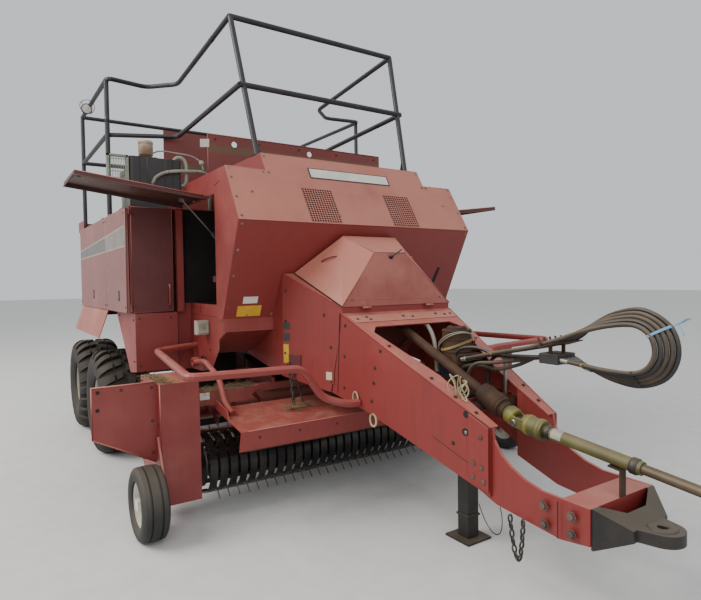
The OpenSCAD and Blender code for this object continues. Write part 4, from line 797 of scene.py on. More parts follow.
def marker(centre, half, depth, face):
    """A rounded square frame round a sunk face; face is a unit vector along X or Y, half its half-width."""
    centre, face = np.asarray(centre, float), np.asarray(face, float)
    side = np.array([face[1], -face[0], 0.0])
    outer = np.array([(-1, -1), (1, -1), (1, 1), (-1, 1)]) * half
    rows = [(1.0, 0.0), (1.0, 0.8), (0.93, 1.0), (0.66, 1.0), (0.60, 0.6)]
    points = np.array([[centre + side * a * s + np.array([0, 0, b * s]) + face * depth * d for a, b in outer]
                       for s, d in rows])
    faces = grid_faces(len(rows), 4, around=True).tolist() + [[16, 17, 18, 19]]
    return points.reshape(-1, 3), faces


piece("marker_housing", both_sides(marker(at(-0.6402, -0.9765, 1.1485), 0.0405, 0.010, (1, 0, 0))), MARKER,
      bevel=0.002, turn=True)
lens = plate(across(-0.6315, rectangle(-0.993, -0.960, 1.132, 1.165)), 0.003)
piece("marker_lens", both_sides(lens), RESIN, turn=True)

# %% [markdown]
# Two parts of the hood's underworks are sheet that only shows in gaps: the lower side panel goes on
# behind the box's front edge and down to the guard tube, and the service opening is a dark hollow
# with a folded jamb beside the door. The dark of the opening, of the gap behind the seam, of the space
# under the belly and of a hole in the sill is painted shade, given by near-black sheets and a disc.

# %% Side panel and service hollow
LOW_Y, SHEET = -0.9345, 0.003
SKIRT = [
    [(-0.860, 0.820), (-0.815, 0.821), (-0.815, 1.020), (-0.860, 1.020)],
    [(-0.705, 0.838), (-0.560, 0.888), (-0.445, 1.010), (-0.440, 1.078), (-0.705, 0.965)],
    [(-0.815, 0.821), (-0.705, 0.838), (-0.705, 0.868), (-0.815, 0.868)],
    [(-0.815, 0.932), (-0.705, 0.932), (-0.705, 0.965), (-0.815, 0.965)]]
main_sheet = [(-1.0285, 0.815), (-0.860, 0.820), (-0.860, 1.312), (-1.0285, 1.312)]
skirt = [plate(beside(LOW_Y, main_sheet), SHEET)] + [plate(beside(LOW_Y - 0.0004, c), SHEET) for c in SKIRT]
piece("side_panel_skirt", both_sides(*skirt), RED, turn=True)
UNDERWORKS = {
    # Near-black sheets and a disc of painted shade, which also hide the bright floor behind the gaps
    "service_shadow_sheet": (HOLLOW, block((-1.0297, -1.0335, 1.312), (-1.0275, -0.428, 2.006))),
    "seam_shadow_sheet": (HOLLOW, block((-1.0500, -1.0800, 0.800), (-1.0430, -1.0200, 1.3200))),
    "skirt_return": (RED, block((-1.0290, -1.0335, 0.815), (-1.0262, -0.9350, 1.3105))),
    "belly_shadow_sheet": (HOLLOW, block((-1.262, -0.930, 0.300), (-1.258, -0.405, 0.885))),
    "sill_hole": (HOLLOW, spot(at(-0.800, -0.9376, 1.282), (0, -1, 0), 0.0085)),
    "service_jamb": (RED, joined(block((-0.9835, -1.046, 1.250), (-0.9805, -0.994, 1.999)),
                                 block((-1.0275, -0.997, 1.250), (-0.9805, -0.994, 1.999))))}
for name, (material, shell) in UNDERWORKS.items():
    piece(name, both_sides(shell), material, turn=True)

# %% [markdown]
# The pyramid cover hides the flywheel. It has a bent lifting handle on each sloping side, a small
# turn latch high on its front face, and two rivets and a crease along its foot. A function gives a
# point on one flat face from its four corners, by blending them with two shares from 0 to 1.

# %% Flywheel cover trim
REAR_BASE, FRONT_BASE = at(-0.140, -0.520, 1.514), at(0.322, -0.440, 1.301)
REAR_TOP, FRONT_TOP = at(0.006, -0.220, 1.762), at(0.230, -0.130, 1.643)
COVER_OUT = unit(np.cross(FRONT_BASE - REAR_BASE, REAR_TOP - REAR_BASE))
COVER_OUT *= -np.sign(COVER_OUT[1])


def on_cover(along, up, lift=0.0):
    """A point on the cover's right face: along runs from rear to front and up from base to top."""
    base = REAR_BASE * (1 - along) + FRONT_BASE * along
    return base * (1 - up) + (REAR_TOP * (1 - along) + FRONT_TOP * along) * up + COVER_OUT * lift


swing = np.linspace(0, np.pi, 15)
grip = at(-0.008, -0.381, 1.587) + np.outer(0.5 - 0.5 * np.cos(swing), [0.073, 0.063, 0.040])
# The grip is first laid on the face, and then it arches off it
grip -= ((grip - on_cover(0.5, 0.5)) @ COVER_OUT)[:, None] * COVER_OUT
grip += COVER_OUT * (0.003 + 0.026 * np.sin(swing) ** 0.6)[:, None]
piece("cover_handles", both_sides(tube(grip, 0.0065)), RED, "flywheel_cover", smooth=True)
front_low, front_high = np.array([0.322, 1.301]), np.array([0.230, 1.643])
FRONT_NORMAL = unit([front_high[1] - front_low[1], 0, front_low[0] - front_high[0]])


def cover_front(y, up, lift=0.0):
    """A point on the cover's front face at a distance to the side and a share of its height."""
    x, z = (low + (high - low) * np.asarray(up) for low, high in zip(front_low, front_high))
    return raised(x, y, z, FRONT_NORMAL, lift)


latch = turned([(0, 0.016), (0.008, 0.017), (0.014, 0.013), (0.022, 0.006)], cover_front(0.0, 0.92),
               FRONT_NORMAL, 20)
lever = tube([cover_front(0.0, 0.92, 0.012), cover_front(0.03, 0.96, 0.026), cover_front(0.072, 1.03, 0.040)],
             0.0045, 8)
piece("cover_latch", joined(latch, lever), CAST, "flywheel_cover", smooth=True)
piece("cover_rivets", studs(cover_front([-0.36, 0.36], 0.12), FRONT_NORMAL, 0.005, 0.004), STEEL,
      "flywheel_cover")
crease = bead(cover_front(-0.40, 0.115, 0.0003), cover_front(0.405, 0.095, 0.0003), 0.0008, 6)
piece("cover_crease", crease, DARK_RED, "flywheel_cover", "red_paint")
# A near-black bead along the foot of each sloping side is painted shade in the gap under the cover
piece("cover_gap", both_sides(bead(on_cover(0.0, 0.004, 0.001), on_cover(1.0, 0.004, 0.001), 0.0035)), HOLLOW,
      "flywheel_cover")
across_top = bead(FRONT_TOP, FRONT_TOP * [1, -1, 1], 0.0035)
ridges = both_sides(bead(FRONT_BASE, FRONT_TOP, 0.0035), bead(REAR_TOP, FRONT_TOP, 0.0035))
piece("cover_ridges", joined(ridges, across_top), RED, "flywheel_cover", smooth=True)

# %% [markdown]
# The tongue is two tapering side plates. Its front plates lean inwards towards the hitch, so a point
# on the right one follows from its station and height; a bolt array, a doubler plate and the dark
# seam between the plates are all set out on it.

# %% Tongue side trim
KNEE_X, KNEE_HALF, LAP_X, LAP_HALF = 0.270, 0.450, 1.320, 0.250
REAR_X, REAR_HALF = -0.160, 0.600
TAPER = (KNEE_HALF - LAP_HALF) / (LAP_X - KNEE_X)
REAR_TAPER = (REAR_HALF - KNEE_HALF) / (KNEE_X - REAR_X)
SIDE_NORMAL, REAR_NORMAL = unit([TAPER, -1, 0]), unit([REAR_TAPER, -1, 0])


def tongue_side(x, z, lift=0.0):
    """A point on the right side plate ahead of the knee."""
    return raised(np.asarray(x), -KNEE_HALF + (np.asarray(x) - KNEE_X) * TAPER, z, SIDE_NORMAL, lift)


def tongue_rear(x, z, lift=0.0):
    """A point on the right side plate behind the knee."""
    return raised(np.asarray(x), -KNEE_HALF + (np.asarray(x) - KNEE_X) * REAR_TAPER, z, REAR_NORMAL, lift)


small = tongue_side([0.345, 0.335, 0.330, 0.582, 0.571, 0.554, 0.624, 1.110],
                    [1.19, 1.003, 0.812, 0.958, 0.870, 0.762, 1.058, 0.630])
rear = tongue_rear([0.175, 0.225, 0.225, -0.13, -0.135, -0.14], [1.249, 1.05, 0.84, 1.40, 1.20, 0.99])
large = tongue_side([1.275, 1.279, 1.235, 1.232, 1.290], [0.693, 0.545, 0.558, 0.492, 0.478], 0.006)
piece("tongue_small_bolts", both_sides(studs(small, SIDE_NORMAL, 0.0075, 0.007)), RUSTY)
piece("tongue_rear_bolts", both_sides(studs(rear, REAR_NORMAL, 0.0075, 0.007)), RUSTY)
piece("tongue_large_bolts", both_sides(studs(large, SIDE_NORMAL, 0.0125, 0.012)), BOLT)
doubler = [(1.206, 0.800), (1.317, 0.744), (1.317, 0.430), (1.206, 0.474)]
piece("tongue_doubler", both_sides(plate([tongue_side(x, z, 0.006) for x, z in doubler], 0.006)), TONGUE_RED,
      bevel=0.0015, turn=True)
# Two open holes, dark discs of painted shade, one with a bolt end sunk in it
holes = [spot(tongue_side(x, z, 0.0004), SIDE_NORMAL, 0.019, 24, 0.0008, 0.001)
         for x, z in ((1.190, 0.790), (1.183, 0.700))]
piece("tongue_holes", both_sides(*holes), DARK)
sunk = turned([(0.0, 0.011), (0.003, 0.011), (0.006, 0.006)], tongue_side(1.187, 0.698, 0.001), SIDE_NORMAL,
              20)
piece("tongue_bolt_ends", both_sides(sunk), ZINC, smooth=True)
seam = bead(tongue_side(0.300, 1.262, 0.0004), tongue_side(0.274, 0.772, 0.0004), 0.0026, 6)
# The fold's dark line is painted shade in its crease
fold = bead(tongue_side(0.985, 0.640, 0.0004), tongue_side(1.206, 0.545, 0.0004), 0.0013, 6)
piece("tongue_seams", both_sides(seam, fold), DARK)
piece("tongue_reflectors", both_sides(label(tongue_rear, (0.188, 0.232, 0.845, 0.895), 0.004)), BOTTLE,
      bevel=0.0012, turn=True)
backs = plate([tongue_rear(x, z, 0.0012) for x, z in rectangle(0.176, 0.246, 0.825, 0.915)], 0.001)
piece("reflector_backs", both_sides(backs), RED, turn=True)

# %% [markdown]
# Small blank plates sit on the right plate behind the knee: two dark ones and a yellow strip. Beneath
# the knee hang two bar loops that once guided a rope.

# %% Blank plates and rope loops
dark_plates = [label(tongue_rear, (-0.156, -0.100, low, high), 0.0015)
               for low, high in ((1.146, 1.192), (1.070, 1.122))]
piece("plates_dark", joined(*dark_plates), INK, turn=True)
piece("plate_yellow_strip", label(tongue_rear, (-0.156, -0.112, 0.925, 1.048), 0.0015), YELLOW, turn=True)


def bar_loop(centre, half_x, half_z, radius):
    """A closed oval of round bar standing in the plate's plane; its points follow cosine and sine."""
    a = np.linspace(0, 2 * np.pi, 33)
    ring = centre + np.stack([half_x * np.cos(a), 0 * a, half_z * np.sin(a)], -1)
    return tube(ring, radius, 8, caps=False)


loops = [bar_loop(tongue_side(0.427, 0.764, 0.004), 0.026, 0.036, 0.005),
         bar_loop(tongue_side(0.560, 0.652, -0.004), 0.030, 0.036, 0.006)]
piece("rope_loops", both_sides(*loops), ROPE, smooth=True, turn=True)

# %% [markdown]
# On top of the tongue a bolted strip closes the cover's curb, and each edge is a rounded fold.

# %% Tongue top trim
TOP_SLOPE = (1.263 - 0.746) / (1.320 - 0.320)
TOP_NORMAL = unit([TOP_SLOPE, 0, 1])


def tongue_top(x, y, lift=0.0):
    """A point on the tongue's sloping top flange."""
    return raised(np.asarray(x), y, 1.263 - (np.asarray(x) - 0.320) * TOP_SLOPE, TOP_NORMAL, lift)


strip = [(0.352, -0.428), (0.425, -0.413), (0.425, 0.413), (0.352, 0.428)]
piece("curb_strip", plate([tongue_top(x, y, 0.003) for x, y in strip], 0.003), RED, bevel=0.001, turn=True)
strip_bolts = tongue_top([0.39, 0.375, 0.40, 0.385, 0.395, 0.38, 0.392, 0.385],
                         [-0.375, -0.30, -0.285, -0.02, 0.05, 0.26, 0.33, 0.385], 0.003)
flange_bolts = tongue_top([0.66, 0.95, 1.10, 1.22], [-0.345, -0.288, -0.262, -0.238])
piece("strip_bolts", studs(strip_bolts, TOP_NORMAL, 0.007, 0.006), STEEL)
piece("flange_bolts", both_sides(studs(flange_bolts, TOP_NORMAL, 0.0075, 0.007)), RUSTY)
edge_fold = bead(tongue_top(0.322, -0.4405, -0.002), tongue_top(1.318, -0.2505, -0.002), 0.005)
piece("tongue_edge_folds", both_sides(edge_fold), TONGUE_RED, smooth=True)

# %% [markdown]
# The hitch weldment is bolted through with large hexagon bolts, and a steel safety chain hangs in a
# loop beneath it. A chain link is an oval bar; each next link is turned a quarter about the chain.

# %% Hitch bolts and chains
weld_side = [(1.629, 0.472), (1.633, 0.392), (1.766, 0.470), (1.766, 0.396)]
piece("hitch_bolts", both_sides(bolts_beside(-0.2545, weld_side, 0.0155, 0.016)), BOLT)
piece("inner_bolts", bolts_beside(0.2335, [(1.106, 0.763), (1.191, 0.766), (1.14, 0.62)], 0.0095, 0.010),
      BOLT)
piece("weldment_joint", both_sides(tube(beside(-0.2546, [(1.700, 0.512), (1.700, 0.352)]), 0.0022, 6)), DARK)


def chain(path, length=0.046, wire=0.0048):
    """Links along a path: each is an oval bar, turned a quarter from the last about the chain's own line."""
    path = np.asarray(path, float)
    run = np.concatenate([[0], np.cumsum(np.linalg.norm(np.diff(path, axis=0), axis=1))])
    pitch = length - 2.4 * wire
    spots = np.arange(pitch / 2, run[-1], pitch)
    back, middle, ahead = (np.stack([np.interp(spots + step, run, path[:, k]) for k in range(3)], -1)
                           for step in (-0.01, 0, 0.01))
    way = unit(ahead - back)
    side = unit(np.cross(way, [0.3, 1.0, 0.2]))
    flat = np.cross(way, side)
    shells = []
    a = np.linspace(0, 2 * np.pi, 13)
    for k in range(len(spots)):
        u = side[k] if k % 2 else flat[k]
        long_way = middle[k] + np.outer(np.cos(a) * (length / 2 - wire), way[k])
        shells.append(tube(long_way + np.outer(np.sin(a) * wire * 2.0, u), wire, 6, caps=False))
    return joined(*shells)


bend = np.linspace(0, 1, 40)
safety = at(1.450, -0.262, 0.372) + np.stack([0.075 * bend, 0.010 * np.sin(np.pi * bend),
                                              -0.200 * np.sin(np.pi * bend) ** 0.75], -1)
piece("safety_chain", chain(safety), CAST, smooth=True, turn=True)

# %% [markdown]
# A cast ring on the towing eye is ground flat round the pin hole. The jack's leg has a pin, two
# collars, and a bent wire that keeps the pin from getting lost.

# %% Towing eye and jack details
wear = turned([(0.0, 0.0215), (0.0035, 0.0225), (0.005, 0.030), (0.005, 0.052), (0.002, 0.058), (0.0, 0.058)],
              at(2.007, 0, 0.4450), (0, 0, 1), 40, caps=False)
piece("eye_wear_ring", wear, CAST, smooth=True)
leg_at = at(0.925, 0, 0)
pins = [turned([(low, radius), (high, radius)], leg_at + [0, 0, 0.500], (0, 1, 0), 16)
        for low, high, radius in ((-0.052, 0.052, 0.008), (-0.060, -0.054, 0.013))]
piece("jack_pin", joined(*pins), ZINC)
arc = np.linspace(0, 1.35 * np.pi, 24)
wire = leg_at + np.stack([0.055 + 0.085 * np.sin(arc * 0.6), 0.03 + 0.06 * (1 - np.cos(arc * 0.7)),
                          0.200 - 0.150 * np.sin(arc / 1.35 * 0.98) - 0.02 * arc / 4], -1)
piece("jack_wire", tube(wire, 0.0028, 6), RUSTY, slot="cast_black", smooth=True)
collars = [box(leg_at + [-0.047, -0.047, z], leg_at + [0.047, 0.047, z + 0.012]) for z in (0.600, 0.130)]
piece("jack_collars", joined(*collars), CAST, bevel=0.002)

# %% [markdown]
# The drive shaft ahead of the joint is tilted. Its parts are turned shapes placed by one function
# that gives a point along the shaft's line, with an offset above or beside it.

# %% Drive shaft details
JOINT = at(1.290, 0, 0.735)
FALL = math.radians(6.5)
SHAFT = np.array([math.cos(FALL), 0, -math.sin(FALL)])
SHAFT_UP = np.array([math.sin(FALL), 0, math.cos(FALL)])


def along_shaft(run, side=0.0, above=0.0):
    """A point at a distance run ahead of the joint, beside and above the shaft's line."""
    return JOINT + SHAFT * run + np.array([0, side, 0]) + SHAFT_UP * above


yoke_ribs = [collar(along_shaft(r), SHAFT, 0.0485, 0.0525, 0.026, 0.006, 32) for r in (0.052, 0.118)]
piece("yoke_ribs", joined(*yoke_ribs), YOKE, "pto_tube", smooth=True)
caps = [turned([(0, 0.0165), (0.006, 0.0165), (0.0085, 0.012)], along_shaft(0, s * 0.046), (0, s, 0), 20)
        for s in (-1, 1)]
piece("cross_caps", joined(*caps), ZINC, "pto_tube", turn=True)
ends = [collar(along_shaft(r), SHAFT, 0.0305, 0.036, 0.034, 0.004) for r in (0.160, 0.590)]
piece("guard_collars", joined(*ends), CAST, "pto_tube", smooth=True)
a = np.linspace(-1.9, 0.5, 10)
wrap = [along_shaft(r, 0.0307 * math.sin(t), 0.0307 * math.cos(t)) for r in (0.205, 0.262) for t in a]
piece("guard_label", (wrap, grid_faces(2, len(a))), MARKER, "pto_tube", "rim_white", smooth=True)
rings = [collar(along_shaft(1.010 + 0.018 * k), SHAFT, 0.0392, 0.0415, 0.012, 0.003) for k in range(5)]
piece("tip_rings", joined(*rings), CAST, "pto_tip", smooth=True)
# Behind the joint the shaft runs up inside the tongue
front = at(1.215, 0, 0.767)
way = unit(front - at(0.220, 0, 1.212))
sleeve = [(0, 0.0565), (0.004, 0.0600), (0.020, 0.0600), (0.024, 0.0570), (0.080, 0.0570), (0.084, 0.0600),
          (0.110, 0.0600), (0.114, 0.0565)]
piece("carrier_sleeve", turned(sleeve, front - way * 0.168, way, 36), RUSTY, slot="shaft_brown", smooth=True)
yoke = [(0.0, 0.030), (0.004, 0.044), (0.016, 0.044), (0.020, 0.038), (0.060, 0.036), (0.072, 0.047),
        (0.112, 0.047), (0.116, 0.040)]
lean = np.array(Matrix.Rotation(-math.atan2(way[2], way[0]), 3, "Y"))
ears = [box([-0.030, s * 0.036 - 0.006, -0.024], [0.030, s * 0.036 + 0.006, 0.024]) for s in (-1, 1)]
ears = [(np.asarray(points) @ lean.T + JOINT - way * 0.026, faces) for points, faces in ears]
piece("rear_yoke", joined(turned(yoke, JOINT - way * 0.142, way, 36), *ears), YOKE, bevel=0.002, turn=True)

# %% [markdown]
# Five hydraulic hoses leave a gland inside the tongue, pass over a slotted comb and turn back in a
# loop to the holder that parks their ends. The route is the middle hose's, and each neighbour lies one
# step further out, so that the bundle stays parallel. A hose is rubber over steel braid: it bends in a
# smooth curve of at least four diameters, with a crimped ferrule at each end.

# %% Hoses
HOSE_R, HOSES = 0.011, 5
# The middle hose's station, side distance and height, and the step to the next hose (millimetres)
HOSE_LINE = np.array([
    [780, 165, 985, 0, 34, 0], [900, 165, 1015, 0, 34, 0], [1030, 165, 1046, 0, 38, 0],
    [1170, 165, 1077, 0, 45, 0], [1310, 165, 1110, 0, 45, 0], [1450, 165, 1155, 0, 45, 0],
    [1570, 165, 1220, -4, 34, 8], [1690, 165, 1265, -3, 24, 14], [1815, 165, 1278, 2, 18, 16],
    [1908, 165, 1223, 13, 18, 9], [1935, 165, 1128, 16, 18, -1], [1896, 165, 1042, 12, 18, -11],
    [1807, 165, 1000, 1, 18, -16], [1685, 165, 1002, 0, 20, -14], [1565, 165, 1025, -1, 24, -8],
    [1450, 165, 1055, 0, 28, 0]]) / 1000
CRIMP = [(0.0, 0.0118), (0.002, 0.0142), (0.010, 0.0142), (0.012, 0.0128), (0.016, 0.0142), (0.024, 0.0142),
         (0.026, 0.0128), (0.030, 0.0142), (0.038, 0.0142), (0.041, 0.0118)]
ferrules = []
for k in range(HOSES):
    line = smooth_path(on(HOSE_LINE[:, :3] + (k - 2) * HOSE_LINE[:, 3:]), 6)
    made = piece(f"braided_hose_{k + 1}", tube(line, HOSE_R, 14), DUSTY_HOSE if k in (0, 2, 3) else HOSE,
                 smooth=True)
    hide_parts(f"hose_{k + 1}")
    for end, ahead in ((line[0], line[2]), (line[-1], line[-3])):
        way = unit(ahead - end)
        ferrules.append(turned(CRIMP, end + way * 0.004, way, 16))
piece("hose_ferrules", joined(*ferrules), ZINC, smooth=True, turn=True)

# %% [markdown]
# Rags and ties hold the bundle. A band is a ribbon carried round an oval whose long side follows the
# bundle's width, and a loose end of rag is the same ribbon on an open, drooping line.

# %% Ties


def ribbon(line, toward, width, thick=0.0016):
    """A flat ribbon along a line; toward gives its width direction at every point."""
    line = np.asarray(line, float)
    heading = unit(np.gradient(line, axis=0))
    wide = np.broadcast_to(np.asarray(toward, float), line.shape)
    wide = unit(wide - (wide * heading).sum(1, keepdims=True) * heading) * width / 2
    up = np.cross(heading, unit(wide)) * thick / 2
    points = np.stack([line + wide + up, line - wide + up, line - wide - up, line + wide - up], 1)
    last = 4 * (len(line) - 1)
    faces = grid_faces(len(line), 4, around=True).tolist()
    return points.reshape(-1, 3), faces + [[0, 1, 2, 3], [last + 3, last + 2, last + 1, last]]


def bundle_band(row, width, grow, turns=1.0):
    """A band round all five hoses at a row of the route, as an oval a little larger than the bundle."""
    low, high = max(row - 1, 0), min(row + 1, len(HOSE_LINE) - 1)
    way = unit(HOSE_LINE[high, :3] - HOSE_LINE[low, :3])
    half = 2 * np.linalg.norm(HOSE_LINE[row, 3:]) + HOSE_R
    wide = unit(HOSE_LINE[row, 3:])
    t = np.linspace(0, 2 * np.pi * turns, int(48 * turns) + 1)
    flat = np.cross(way, wide)
    oval = np.outer(np.cos(t), wide) * (half + grow) + np.outer(np.sin(t), flat) * (HOSE_R + grow)
    drift = np.outer(np.linspace(-0.5, 0.5, len(t)), way) * width * 0.8 * (turns > 1)
    return ribbon(on(HOSE_LINE[row, :3] + oval + drift), way, width)


knot = on(HOSE_LINE[9, :3] + 2 * HOSE_LINE[9, 3:] + [0.012, 0.012, 0.010])
s = np.linspace(0, 1, 14)[:, None]
wave = np.concatenate([0.070 * s, 0.016 * np.sin(5 * s), 0.050 * s - 0.018 * s**2], 1)
stub = np.concatenate([0.050 * s, -0.030 * s, 0.020 * s - 0.060 * s**2], 1)
rag = joined(bundle_band(9, 0.007, 0.004, 3.5), ribbon(knot + wave, (0.2, 0.5, -0.8), 0.009),
             ribbon(knot + stub, (0.3, 0.6, 0.7), 0.007))
piece("tie_rag_blue", rag, BLUE, smooth=True, turn=True)
piece("tie_bands_black", joined(*[bundle_band(row, 0.008, 0.0025) for row in (12, 14)]), HOSE, smooth=True,
      turn=True)
piece("tie_twine_pale", joined(*[bundle_band(row, 0.006, 0.004, 3.0) for row in (14, 2)]), TWINE, smooth=True,
      turn=True)

# %% [markdown]
# The parking holder is a block of black rubber on its steel core, and a bright sleeve stands by it.
# The canister has pressed ribs, a screwed lid and a wrap of twine, and a finned blue box hangs below.

# %% Holder, canister and box
sleeve = turned([(0, 0.0092), (0.001, 0.0104), (0.228, 0.0104), (0.230, 0.0092)], at(1.035, 0.190, 0.795),
                (0, 0, 1), 20)
piece("stand_sleeve", sleeve, ZINC, smooth=True)
piece("holder_rubber", block((1.335, 0.0935, 1.0285), (1.4466, 0.2365, 1.0815)), BLACK_SHEET, bevel=0.004)
CAN = at(0.640, 0.200, 0)
ribs = [collar(CAN + [0, 0, z], (0, 0, 1), 0.0900, 0.0932, 0.012, 0.003, 40)
        for z in (0.963, 1.010, 1.085, 1.136)]
piece("canister_ribs", joined(*ribs), RUSTY, slot="shaft_brown", smooth=True)
a = angles(6)
lid_bolts = CAN + np.stack([0.048 * np.cos(a), 0.048 * np.sin(a), 1.1645 + 0 * a], -1)
piece("canister_bolts", studs(lid_bolts, (0, 0, 1), 0.0065, 0.008), STEEL)
t = np.linspace(0, 2 * np.pi * 4, 200)
height = 1.050 + 0.035 * np.sin(t + 0.7) + 0.004 * t / 6.28
wrap = CAN + np.stack([0.0955 * np.cos(t), 0.0955 * np.sin(t), height], -1)
piece("canister_twine", tube(wrap, 0.0022, 6), TWINE, slot="shaft_brown", smooth=True)
fins = [block((x - 0.0035, 0.104, 0.862), (x + 0.0035, 0.236, 0.948))
        for x in np.arange(0.586, 0.716, 0.0155)]
piece("blue_box_fins", joined(*fins), NAVY, bevel=0.0008)

# %% [markdown]
# Steel feed pipes rise beside the drive shaft and run forward into the back of the parking holder.
# They were bent by hand, so no two are alike. A grey elbow, a draped cable and a knot of old twine
# fill the corner round the canister, as on any machine that has been mended in the field.

# %% Feed pipes and loose twine
PIPE_KNOTS = [
    [(0.740, 0.070, 0.880), (0.752, 0.072, 0.985), (0.800, 0.075, 1.050), (0.920, 0.088, 1.068),
     (1.050, 0.105, 1.040), (1.200, 0.118, 1.046), (1.336, 0.125, 1.055)],
    [(0.830, 0.085, 0.780), (0.845, 0.085, 0.900), (0.900, 0.090, 0.972), (1.010, 0.110, 0.992),
     (1.160, 0.145, 1.018), (1.336, 0.160, 1.060)],
    [(0.880, 0.215, 0.800), (0.885, 0.218, 0.930), (0.940, 0.214, 1.010), (1.080, 0.206, 1.022),
     (1.210, 0.198, 1.030), (1.336, 0.196, 1.054)],
    [(0.700, 0.105, 0.870), (0.760, 0.110, 0.930), (0.860, 0.135, 0.960), (1.000, 0.150, 0.950),
     (1.130, 0.175, 0.985), (1.240, 0.215, 1.040), (1.336, 0.222, 1.052)]]
pipes = [pipe(on(knots), 0.0105, 12) for knots in PIPE_KNOTS]
piece("feed_pipes_dark", joined(pipes[0], pipes[2]), HOSE, smooth=True)
piece("feed_pipes_dusty", joined(pipes[1], pipes[3]), DUSTY_HOSE, smooth=True)
elbow = on([(0.300, 0.125, 1.190), (0.380, 0.120, 1.200), (0.460, 0.120, 1.165), (0.510, 0.125, 1.090),
            (0.525, 0.130, 0.990), (0.525, 0.140, 0.880)])
piece("grey_elbow", pipe(elbow, 0.013), MARKER, slot="grey_steel", smooth=True)
t = np.linspace(0, 4 * np.pi, 150)
height = 1.062 + 0.078 * np.cos(t + 0.5) + 0.010 * np.sin(t / 2)
cable = CAN + np.stack([0.116 * np.cos(t), 0.108 * np.sin(t), height], -1)
piece("draped_cable", tube(cable, 0.0030, 7), MARKER, slot="hose_rubber", smooth=True)
t = np.linspace(0, 9 * np.pi, 260)
ahead = 0.055 * np.sin(0.31 * t) + 0.018 * np.cos(2.3 * t)
height = 0.052 * np.cos(t) + 0.012 * np.sin(1.7 * t)
tangle = at(1.090, -0.236, 0.905) + np.stack([ahead, 0.016 * np.sin(t), height], -1)
piece("twine_knot", tube(tangle, 0.0036, 7), ROPE, slot="hose_rubber", smooth=True)

# %% [markdown]
# Each twine box has two side panels with a wide grey stripe between pale borders, a recessed latch,
# rolled edges and corner bolts. Each panel is one sheet on its own hinge, so its trim rides with it.

# %% Side panels
BOX_HALF = 1.400
# For each panel: its front and rear edge, the latch's station and the stripe's material
PANELS = {"f": (-1.008, -1.746, -1.258, STRIPE_FADED), "r": (-1.754, -3.040, -2.335, STRIPE)}
PANEL_LOW, PANEL_HIGH, BORDER = 1.255, 1.997, 0.012


def stripe_band(front, rear, low_shift, high_shift, lift):
    """A flat band on the right panel along the stripe, which narrows a little towards the rear."""
    corners = []
    for x, upper_edge in ((rear, False), (front, False), (front, True), (rear, True)):
        share = (x + 1.0) / -2.04
        edges = (1.735 - 0.017 * share, 1.866 - 0.083 * share)
        base, shift = (low_shift, high_shift)[upper_edge]
        corners.append((x, edges[base] + shift))
    return plate(beside(-BOX_HALF - lift, corners), lift)


for end, (front, rear, latch_x, stripe) in PANELS.items():
    inset = (front - 0.004, rear + 0.004)
    twins("stripe", stripe_band(*inset, (0, 0), (1, 0), 0.0008), stripe, "panel", end, turn=True)
    borders = joined(stripe_band(*inset, (0, -BORDER), (0, 0), 0.0010),
                     stripe_band(*inset, (1, 0), (1, BORDER), 0.0010))
    twins("stripe_borders", borders, PALE, "panel", end, turn=True)
    outline = [(front, PANEL_LOW), (front, PANEL_HIGH), (rear, PANEL_HIGH), (rear, PANEL_LOW),
               (front, PANEL_LOW)]
    twins("panel_rolls", rolls(beside(-BOX_HALF + 0.004, outline), 0.0045), BOX_RED, "panel", end,
          smooth=True)
    latch_at = at(latch_x, -BOX_HALF, 1.372)
    points, faces = marker(latch_at - [0, 0.0005, 0], 0.019, 0.004, (0, -1, 0))
    keyhole = (points - latch_at) * [1, 1, 2.0] + latch_at, faces
    twins("panel_latch", keyhole, CAST, "panel", end, turn=True)
    paddle = block((latch_x - 0.008, -BOX_HALF - 0.006, 1.352), (latch_x + 0.008, -BOX_HALF - 0.001, 1.396))
    twins("latch_paddle", paddle, ZINC, "panel", end, bevel=0.0015)
    corners = [(x, z) for x in (front - 0.03, rear + 0.03) for z in (1.965, 1.29)]
    twins("panel_rivets", bolts_beside(-BOX_HALF, corners, 0.0055, 0.004), RUSTY, "panel", end)

# %% [markdown]
# The front door has a bar handle, rolled edges and three rivets. The service lid above it is a
# shallow tray with rolled lips, a latch cup and a hole near its end, shown as a pale disc of painted light.

# %% Front doors and service lids
DOOR_FACE, DOOR_OUT, DOOR_IN = -0.980, -1.361, -1.076
handle_z = np.array([1.300, 1.301, 1.306, 1.330, 1.375, 1.420, 1.444, 1.449, 1.450])
handle_out = np.array([0.0, 0.012, 0.022, 0.028, 0.028, 0.028, 0.022, 0.012, 0.0])
bar_path = at(DOOR_FACE, -1.109, 0) + np.stack([handle_out, 0 * handle_z, handle_z], -1)
twins("door_handle", tube(bar_path, 0.0065), RED, "door", smooth=True)
outline = [(DOOR_OUT, 1.255), (DOOR_OUT, 2.003), (DOOR_IN, 2.003), (DOOR_IN, 1.255), (DOOR_OUT, 1.255)]
twins("door_rolls", rolls(across(DOOR_FACE - 0.003, outline), 0.004), DARK_RED, "door", smooth=True)
twins("door_rivets", bolts_across(DOOR_FACE, [(-1.10, 1.28), (-1.345, 1.30), (-1.345, 1.95)], 0.0055, 0.004),
      RUSTY, "door")
LID_HINGE = at(0, -0.990, 2.030)
LID_RISE = math.radians(7)
LID_FRONT, LID_REAR, LID_ROOT, LID_LENGTH, LID_DEPTH = -0.465, -0.935, 0.016, 0.800, 0.022


def on_lid(x, out, down=0.0):
    """A point on the open lid: station, distance out from the hinge line, and depth under its sheet."""
    y = -out * math.cos(LID_RISE) - down * math.sin(LID_RISE)
    z = out * math.sin(LID_RISE) - down * math.cos(LID_RISE)
    return LID_HINGE + np.array([x, y, z])


